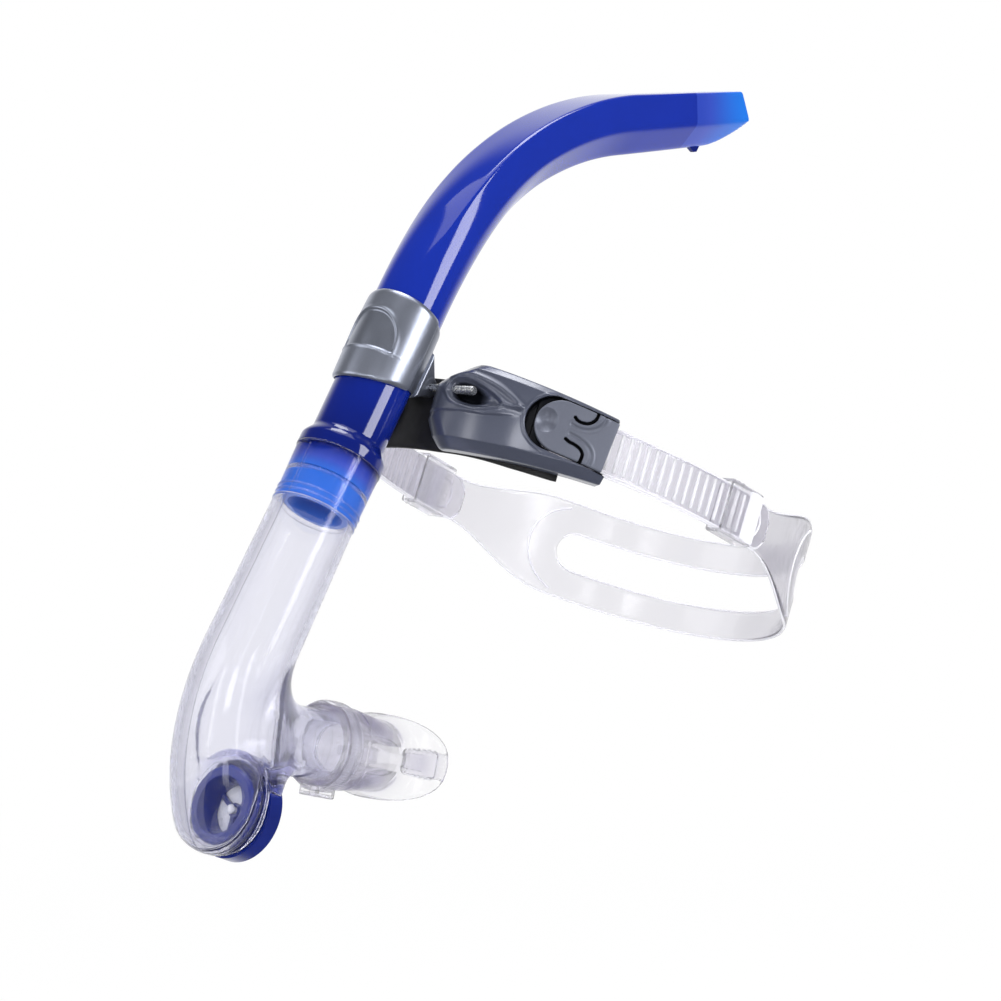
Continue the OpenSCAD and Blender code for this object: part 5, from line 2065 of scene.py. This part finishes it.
@dataclass
class HeadStrap:
    """Clear strap: a ribbed tail folded round a bar on each side, and a split yoke behind the head."""

    width: float = 18.6
    thickness: float = 1.6
    inner: float = 2.6
    tail_in: float = 7.0
    tail_rest: float = 4.55
    tail_out: float = 52.0
    settle: float = 14.0
    tail_end: float = 99.0
    tip_run: float = 5.0
    corner: float = 7.0
    bar_turn: float = 37.5
    fold_mid: float = 4.8
    fold_radius: float = 2.2
    yoke_turn: float = 97.0
    yoke_spread: float = 30.0
    yoke_h: float = 42.0
    slot_h: float = 16.0
    slot_turn: float = 128.0
    rib_first: float = 47.5
    rib_turn: float = 2.3
    rib_low: int = -3
    rib_high: int = 17
    rib_radius: float = 0.75
    rib_short: float = 3.4
    rib_sunk: float = 0.15
    bead_radius: float = 0.5
    bead_in: float = 0.3
    bead_out: float = 0.75
    arc_turn: float = 68.0
    arc_w: float = 21.0
    arc_h: float = 19.5
    tongue: tuple = (3.6, 3.4, 6.2)
    across: int = 8

    @property
    def slot_mid(self) -> float:
        """Middle of the slot's round end, behind the forehead."""
        return HEAD.back(self.slot_turn) + self.slot_h / 2

    def tail_depth(self, turn: Array) -> Array:
        """Depth of the tail's middle off the head."""
        return mix(self.tail_in, self.tail_rest, ease((turn - self.tail_out) / self.settle))

    def path(self) -> tuple[Array, Array]:
        """Middle line of the left half from the tail's end to the back of the head.

        Returns:
            The line's places in the band's plane, and whether each is on the tail.
        """
        tip = self.tail_end - self.tip_run * (1 - np.cos(np.linspace(0, np.pi / 2, 10)))
        tail = np.r_[tip, np.linspace(tip[-1], self.bar_turn, 76)[1:]]
        first = HEAD.point(tail, self.tail_depth(tail))
        hub, n = HEAD.point(self.bar_turn, self.fold_mid), HEAD.normal(self.bar_turn)
        a = np.linspace(0, np.pi, 14)[1:-1, None]
        fold = hub + self.fold_radius * (n * np.cos(a) + np.array([n[1], -n[0]]) * np.sin(a))
        turns = HEAD.turn_at(self.slot_mid - self.slot_h / 2 * np.cos(np.linspace(0, np.pi / 2, 9)))
        back = np.r_[np.linspace(self.bar_turn, turns[0], 70), turns[1:], np.linspace(turns[-1], 180, 24)[1:]]
        line = np.vstack([first, fold, HEAD.point(back, self.inner)])
        return line, np.arange(len(line)) < len(tail)

    def heights(self, line: Array, tail: Array) -> tuple[Array, Array, Array]:
        """Middle, half height and half opening of the strap at each place of its line.

        Args:
            line: Places in the band's plane.
            tail: Whether each is on the tail.

        Returns:
            The three, place by place.
        """
        start, end = HEAD.back(self.yoke_turn), HEAD.back(self.yoke_turn + self.yoke_spread)
        share = np.where(tail, 0, ease((line[:, 1] - start) / (end - start)))
        half = mix(self.width / 2, self.yoke_h / 2, share)
        from_end = np.r_[0, np.cumsum(np.linalg.norm(np.diff(line, axis=0), axis=1))]
        blunt = np.sqrt(np.clip(1 - (1 - np.clip(from_end / self.corner, 0.02, 1)) ** 2, 0, 1))
        half = np.where(tail, half - self.corner * (1 - blunt), half)
        gap = (self.slot_h / 2) ** 2 - np.maximum(self.slot_mid - line[:, 1], 0) ** 2
        return mix(STRAP_RISE, 0, share), half, np.where(tail, 0, np.sqrt(np.clip(gap, 0, None)))

    def sheet(self) -> tuple[Array, list[tuple]]:
        """Middle surface of the whole strap.

        Returns:
            Its points and faces.
        """
        line, tail = self.path()
        mid, half, gap = self.heights(line, tail)
        line = np.vstack([line, line[-2::-1] * (-1, 1)])
        mid, half, gap = (np.r_[v, v[-2::-1]][:, None] for v in (mid, half, gap))
        plan = np.repeat(line[:, None], self.across, 1)
        t = np.linspace(0, 1, self.across)
        points, faces = [], []
        for sign in (1, -1):
            first = len(points) * len(line) * self.across
            rows = np.dstack([plan, mid + sign * (gap + (half - gap) * t)])
            points.append(rows.reshape(-1, 3))
            faces += [tuple(first + n for n in f[::sign]) for f in grid_faces(len(line), self.across)]
        return np.vstack(points), faces

    def bead_lines(self) -> list[Array]:
        """Lines of the raised edges, of the tails' inner border and of the yoke's arc.

        Returns:
            Points of each line in the band's frame.
        """
        line, tail = self.path()
        mid, half, gap = self.heights(line, tail)
        lines = [np.column_stack([line, mid + sign * (half - self.bead_in)])[2:] for sign in (1, -1)]
        lines += [np.column_stack([line, mid + sign * (gap + self.bead_in)])[gap > 0.4] for sign in (1, -1)]
        a = np.radians(np.linspace(-self.arc_turn, self.arc_turn, 40))
        turn = HEAD.turn_at(self.slot_mid - self.arc_w * np.cos(a))
        lines.append(np.column_stack([HEAD.point(turn, self.inner + self.bead_out), self.arc_h * np.sin(a)]))
        a = np.radians(np.linspace(-90, 90, 24))
        inset, run, half_h = self.tongue
        turn = self.tail_end - inset - run * (1 - np.cos(a))
        place = HEAD.point(turn, self.tail_depth(turn) + self.bead_out)
        lines.append(np.column_stack([place, STRAP_RISE + half_h * np.sin(a)]))
        return lines + [l * (-1, 1, 1) for l in lines]

    def build(self, beads: NodeShape, ribs: NodeShape) -> list[Object]:
        """Builds the strap, its raised edges and its ribs.

        Args:
            beads: Tree that sweeps the beads.
            ribs: Tree that sets the ribs.

        Returns:
            The pieces.
        """
        points, faces = self.sheet()
        strap = mesh_piece("head_strap_band", BAND.out(points), faces, BAND_CLEAR, sharp=60)
        face_out(strap)
        wall = strap.modifiers.new("wall", "SOLIDIFY")
        wall.thickness, wall.offset = self.thickness * MM, 0.0
        soft = strap.modifiers.new("soft", "SUBSURF")
        soft.levels = soft.render_levels = 1
        seat(strap, Body.BAND, BAND_CLEAR, "head_strap")
        points, edges = many(self.bead_lines())
        size = self.bead_radius * MM
        edge = beads.run("head_strap_edges", BAND.out(points), edges, MILKY, Radius=size, Sides=10)
        seat(edge, Body.BAND, MILKY)
        turns = self.rib_first + (np.arange(self.rib_low, self.rib_high + 1) + 0.5) * self.rib_turn
        place = HEAD.point(turns, self.tail_depth(turns) + self.thickness / 2 - self.rib_sunk)
        rows = np.column_stack([place, np.full(len(turns), STRAP_RISE)])
        rows = BAND.out(np.vstack([rows, rows * (-1, 1, 1)]))
        sizes = {"Radius": self.rib_radius * MM, "Length": (self.width - self.rib_short) * MM}
        rib = ribs.run("head_strap_ribs", rows, [], MILKY, Turn=math.radians(BAND.turn), **sizes)
        return [strap, edge, seat(rib, Body.BAND, MILKY)]


@dataclass
class StrapKeeper:
    """Clear loop that holds a tail down, with a thicker rear half."""

    side: Side
    turn: float = 87.5
    length: float = 20.0
    wall: float = 1.3
    low: float = -0.66
    top: float = 7.7
    hole_low: float = 0.64
    hole_top: float = 6.4
    hole_half: float = 9.65
    lines: tuple = (-6.5, -3.5)
    line_h: float = 0.3
    bar_start: float = 1.4
    bar_mid: float = 5.4
    bar_crown: float = 0.15
    extra: float = 1.0
    step: float = 0.38

    @property
    def half(self) -> float:
        """Half of the loop's height."""
        return self.hole_half + self.wall

    def field(self, x: Array, y: Array, z: Array) -> Array:
        """Distance to the keeper in its own frame: x round the head, y out, z up.

        Args:
            x, y, z: Points in the keeper's frame.

        Returns:
            The distances, negative inside.
        """
        end, half = self.length / 2, self.half
        loop = box_distance(x, y, z, (-end, self.low, -half), (end, self.top, half), 1.1)
        lines = self.line_h * sum(ease(1.3 - np.abs(x - at) / 0.4) for at in self.lines) * (y > self.top - 1)
        hole = most(self.hole_low - y, y - self.hole_top, np.abs(z) - self.hole_half)
        return smooth_max(loop - lines, -hole, 0.4)

    def bar_field(self, x: Array, y: Array, z: Array) -> Array:
        """Distance to the thicker bar on the rear half, in the keeper's frame.

        Args:
            x, y, z: Points in the keeper's frame.

        Returns:
            The distances, negative inside.
        """
        low = (self.bar_start, self.top - 0.6, 1.0 - self.half)
        high = (self.length / 2 - 0.6, self.top + self.extra, self.half - 1.0)
        crown = self.bar_crown * np.cos(np.clip(np.abs(x - self.bar_mid), 0, 3) * np.pi / 3)
        return box_distance(x, y, z, low, high, 0.7) - crown

    def build(self) -> list[Object]:
        """Builds the keeper.

        Returns:
            The pieces.
        """
        end, n = self.length / 2 + 0.2, HEAD.normal(self.turn)
        low, high = (-end, self.low, -self.half), (end, self.top + self.extra, self.half)
        name = f"{self.side.word}_strap_keeper"
        pieces = []
        for label, field, finish in (("loop", self.field, SILICONE), ("bar", self.bar_field, MILKY)):
            points, faces = surface_of(field, low, high, self.step)
            plan = HEAD.point(self.turn, 0.0) + points[:, :1] * np.array([-n[1], n[0]]) + points[:, 1:2] * n
            placed = np.column_stack([plan, points[:, 2] + STRAP_RISE])
            placed, faces = mirrored(placed, faces[:, ::-1], self.side)
            piece = mesh_piece(f"{name}_{label}", BAND.out(placed), faces, finish, sharp=50)
            face_out(piece)
            pieces.append(seat(piece, self.side.body("keeper"), finish, name))
        return pieces


@dataclass
class SmallParts:
    """Steel axle with threaded ends, strap bars and the seal in the tube's joint."""

    axle: tuple = (-3.301, 9.484)
    axle_radius: float = 1.6
    axle_len: float = 60.0
    thread_end: float = 1.0
    thread_pitch: float = 0.8
    thread_size: float = 0.26
    thread_sunk: float = 0.05
    threads: int = 11
    seal_radius: float = 13.2
    seal_section: float = 0.62
    seal_place: float = -60.6
    sides: int = 40

    def build(self, beads: NodeShape) -> list[Object]:
        """Builds the threads and the seal, and dresses the kept pieces.

        Args:
            beads: Tree that sweeps the beads.

        Returns:
            The pieces.
        """
        a, r = circle(self.sides), self.axle_radius - self.thread_sunk
        y, z = self.axle[0] + r * np.cos(a), self.axle[1] + r * np.sin(a)
        rings = []
        for sign in (1, -1):
            for i in range(self.threads):
                x = sign * (self.axle_len / 2 - self.thread_end - i * self.thread_pitch)
                rings.append(np.stack([0 * a + x, y, z], 1))
        points, edges = many(rings, True)
        thread = beads.run("axle_thread", points, edges, STEEL, Radius=self.thread_size * MM, Sides=8)
        seat(thread, Body.BAND, STEEL)
        ring = CLAMP.ring(self.seal_radius, self.seal_place, self.sides)
        size = self.seal_section * MM
        seal = beads.run("joint_seal_ring", ring, chain(len(ring), True), SILICONE, Radius=size, Sides=12)
        seat(seal, Body.TUBE, SILICONE, "joint_seal")
        for name in ("axle_pin", "left_strap_bar", "right_strap_bar"):
            dress_node(name, STEEL)
        return [thread, seal]


@dataclass(frozen=True)
class Lamp:
    """Soft lamp turned to the object: place and width in metres, watts, and height for each width."""

    name: str
    place: tuple[float, float, float]
    size: float
    power: float
    tall: float = 1.0

    def build(self) -> None:
        """Sets up the lamp."""
        data = bpy.data.lights.new(self.name, "AREA")
        data.shape, data.size, data.size_y = "RECTANGLE", self.size, self.size * self.tall
        data.energy = self.power
        lamp = link_new(self.name, data)
        lamp.location = self.place
        lamp.rotation_euler = (-Vector(self.place)).to_track_quat("-Z", "Y").to_euler()


LAMPS = (
    Lamp("front_left", (-0.75, -1.35, 0.75), 1.1, 6.0),
    Lamp("right", (1.4, 0.5, 0.5), 0.6, 9.0),
    Lamp("top", (0.1, 0.2, 1.5), 1.3, 9.0),
    Lamp("top_back", (-0.2, 0.4, 1.35), 0.6, 6.0),
    Lamp("front_high", (1.25, -1.5, 0.95), 0.5, 4.5),
    Lamp("front_low", (1.45, -1.35, -0.2), 0.45, 2.5),
    Lamp("left_strip", (0.25, -1.6, 0.6), 0.16, 2.5, 6.0),
    Lamp("right_strip", (1.65, -0.6, 0.4), 0.16, 2.0, 6.0),
)


@dataclass
class Studio:
    """Pale floor, white surroundings, soft lamps and the photograph's camera."""

    place: tuple = (1.02616, -1.09522, 0.12294)
    right: tuple = (0.74314, 0.66913, 0.0)
    up: tuple = (-0.06994, 0.07768, 0.99452)
    back: tuple = (0.66546, -0.73907, 0.10453)
    lens: float = 140.26
    sensor: float = 36.0
    floor_z: float = -0.34
    floor_half: float = 6.0
    floor_colour: tuple = (0.92, 0.92, 0.93, 1.0)
    floor_roughness: float = 0.9
    glow_near: float = 0.9
    fade: tuple = (0.35, 1.1)
    fill: float = 0.5
    room: float = 0.12
    through: float = 0.75
    backdrop: tuple = (-0.88, -0.4)

    @staticmethod
    def seen(tree: Tree) -> Socket:
        """Value of 1 for what the camera sees, straight, in gloss or through clear pieces.

        Args:
            tree: The tree it is for.

        Returns:
            The value.
        """
        path = add_node(tree, "ShaderNodeLightPath").outputs
        total = path["Is Camera Ray"]
        for name in ("Is Glossy Ray", "Is Transmission Ray"):
            both = {0: total, 1: path[name]}
            total = add_node(tree, "ShaderNodeMath", None, both, operation="MAXIMUM").outputs[0]
        return total

    @staticmethod
    def choose(tree: Tree, test: Socket, no: float | Socket, yes: float | Socket) -> Socket:
        """One of two values, each a number or a socket, by a test of 0 or 1.

        Args:
            tree: The tree it is for.
            test: The test.
            no: Value at 0.
            yes: Value at 1.

        Returns:
            The value.
        """
        values, links = {}, {"Factor": test}
        for label, value in (("A", no), ("B", yes)):
            (values if isinstance(value, float) else links)[label] = value
        return add_node(tree, "ShaderNodeMix", values, links).outputs["Result"]

    @staticmethod
    def fall(tree: Tree, value: Socket, span: tuple, ends: tuple) -> Node:
        """Smooth change between two values over a span of another.

        Args:
            tree: The tree it is for.
            value: What it goes by.
            span: The span.
            ends: The values.

        Returns:
            The node.
        """
        labels = ("From Min", "From Max", "To Min", "To Max")
        limits = dict(zip(labels, (*span, *ends)))
        return add_node(tree, "ShaderNodeMapRange", limits, {"Value": value}, interpolation_type="SMOOTHSTEP")

    def surroundings(self) -> None:
        """White backdrop, a dark room on the camera's side for gloss and clear pieces, and even fill."""
        world = bpy.data.worlds.new("studio")
        world.use_nodes = True
        bpy.context.scene.world = world
        tree = world.node_tree
        light = tree.nodes["Background"]
        light.inputs["Color"].default_value = (1, 1, 1, 1)
        where = add_node(tree, "ShaderNodeTexCoord").outputs["Generated"]
        facing = add_node(tree, "ShaderNodeVectorMath", {1: self.back}, {0: where}, operation="DOT_PRODUCT")
        backdrop = self.fall(tree, facing.outputs["Value"], self.backdrop, (1.0, self.room))
        path = add_node(tree, "ShaderNodeLightPath").outputs
        room = self.choose(tree, path["Is Transmission Ray"], self.room, self.through)
        tree.links.new(room, backdrop.inputs["To Max"])
        strength = self.choose(tree, self.seen(tree), self.fill, backdrop.outputs["Result"])
        strength = self.choose(tree, path["Is Camera Ray"], strength, 1.0)
        tree.links.new(strength, light.inputs["Strength"])

    def floor(self) -> None:
        """Pale floor that keeps a faint shadow."""
        half = self.floor_half
        mesh = bpy.data.meshes.new("floor")
        corners = [(x * half, y * half, self.floor_z) for x, y in ((-1, -1), (1, -1), (1, 1), (-1, 1))]
        mesh.from_pydata(corners, [], [(0, 1, 2, 3)])
        floor = link_new("floor", mesh)
        floor.visible_glossy = False
        paint = bpy.data.materials.new("pale_floor")
        paint.use_nodes = True
        tree = paint.node_tree
        shader = tree.nodes["Principled BSDF"]
        Finish.fill(shader, {"Base Color": self.floor_colour, "Roughness": self.floor_roughness})
        glow = add_node(tree, "ShaderNodeEmission").outputs[0]
        where = add_node(tree, "ShaderNodeTexCoord").outputs["Object"]
        reach = add_node(tree, "ShaderNodeVectorMath", None, {0: where}, operation="LENGTH").outputs["Value"]
        far = self.fall(tree, reach, self.fade, (self.glow_near, 1.0)).outputs["Result"]
        both = {0: self.seen(tree), 1: far}
        share = add_node(tree, "ShaderNodeMath", None, both, operation="MULTIPLY").outputs[0]
        blend = add_node(tree, "ShaderNodeMixShader", None, {0: share, 1: shader.outputs[0], 2: glow})
        tree.links.new(blend.outputs[0], output_of(tree).inputs["Surface"])
        mesh.materials.append(paint)

    def camera(self) -> None:
        """Camera at the photograph's place."""
        data = bpy.data.cameras.new("camera")
        data.lens, data.sensor_width, data.sensor_fit = self.lens, self.sensor, "HORIZONTAL"
        eye = link_new("camera", data)
        turn = Matrix((self.right, self.up, self.back)).transposed()
        eye.matrix_world = Matrix.Translation(self.place) @ turn.to_4x4()
        bpy.context.scene.camera = eye

    def build(self) -> None:
        """Sets up the whole studio."""
        bpy.context.scene.view_settings.view_transform = "Standard"
        self.camera()
        self.surroundings()
        self.floor()
        for lamp in LAMPS:
            lamp.build()


def main() -> None:
    """Builds the studio and the sub-assemblies in order."""
    logging.basicConfig(level=logging.INFO, format="%(message)s")
    Studio().build()
    beads, ribs = bead_tree(), rib_tree()
    pieces: list[Object] = []
    pieces += UpperTube().build()
    pieces += LowerBody().build(beads)
    pieces += PurgeValve().build(beads)
    pieces += Mouthpiece().build()
    pieces += TubeClamp().build()
    for side in Side:
        pieces += Wing(side).build()
        pieces += ReleaseLever(side).build()
        pieces += StrapKeeper(side).build()
    pieces += ForeheadPad().build()
    pieces += HeadStrap().build(beads, ribs)
    pieces += SmallParts().build(beads)
    LOG.info("%d pieces built", len(pieces))


if __name__ == "__main__":
    main()
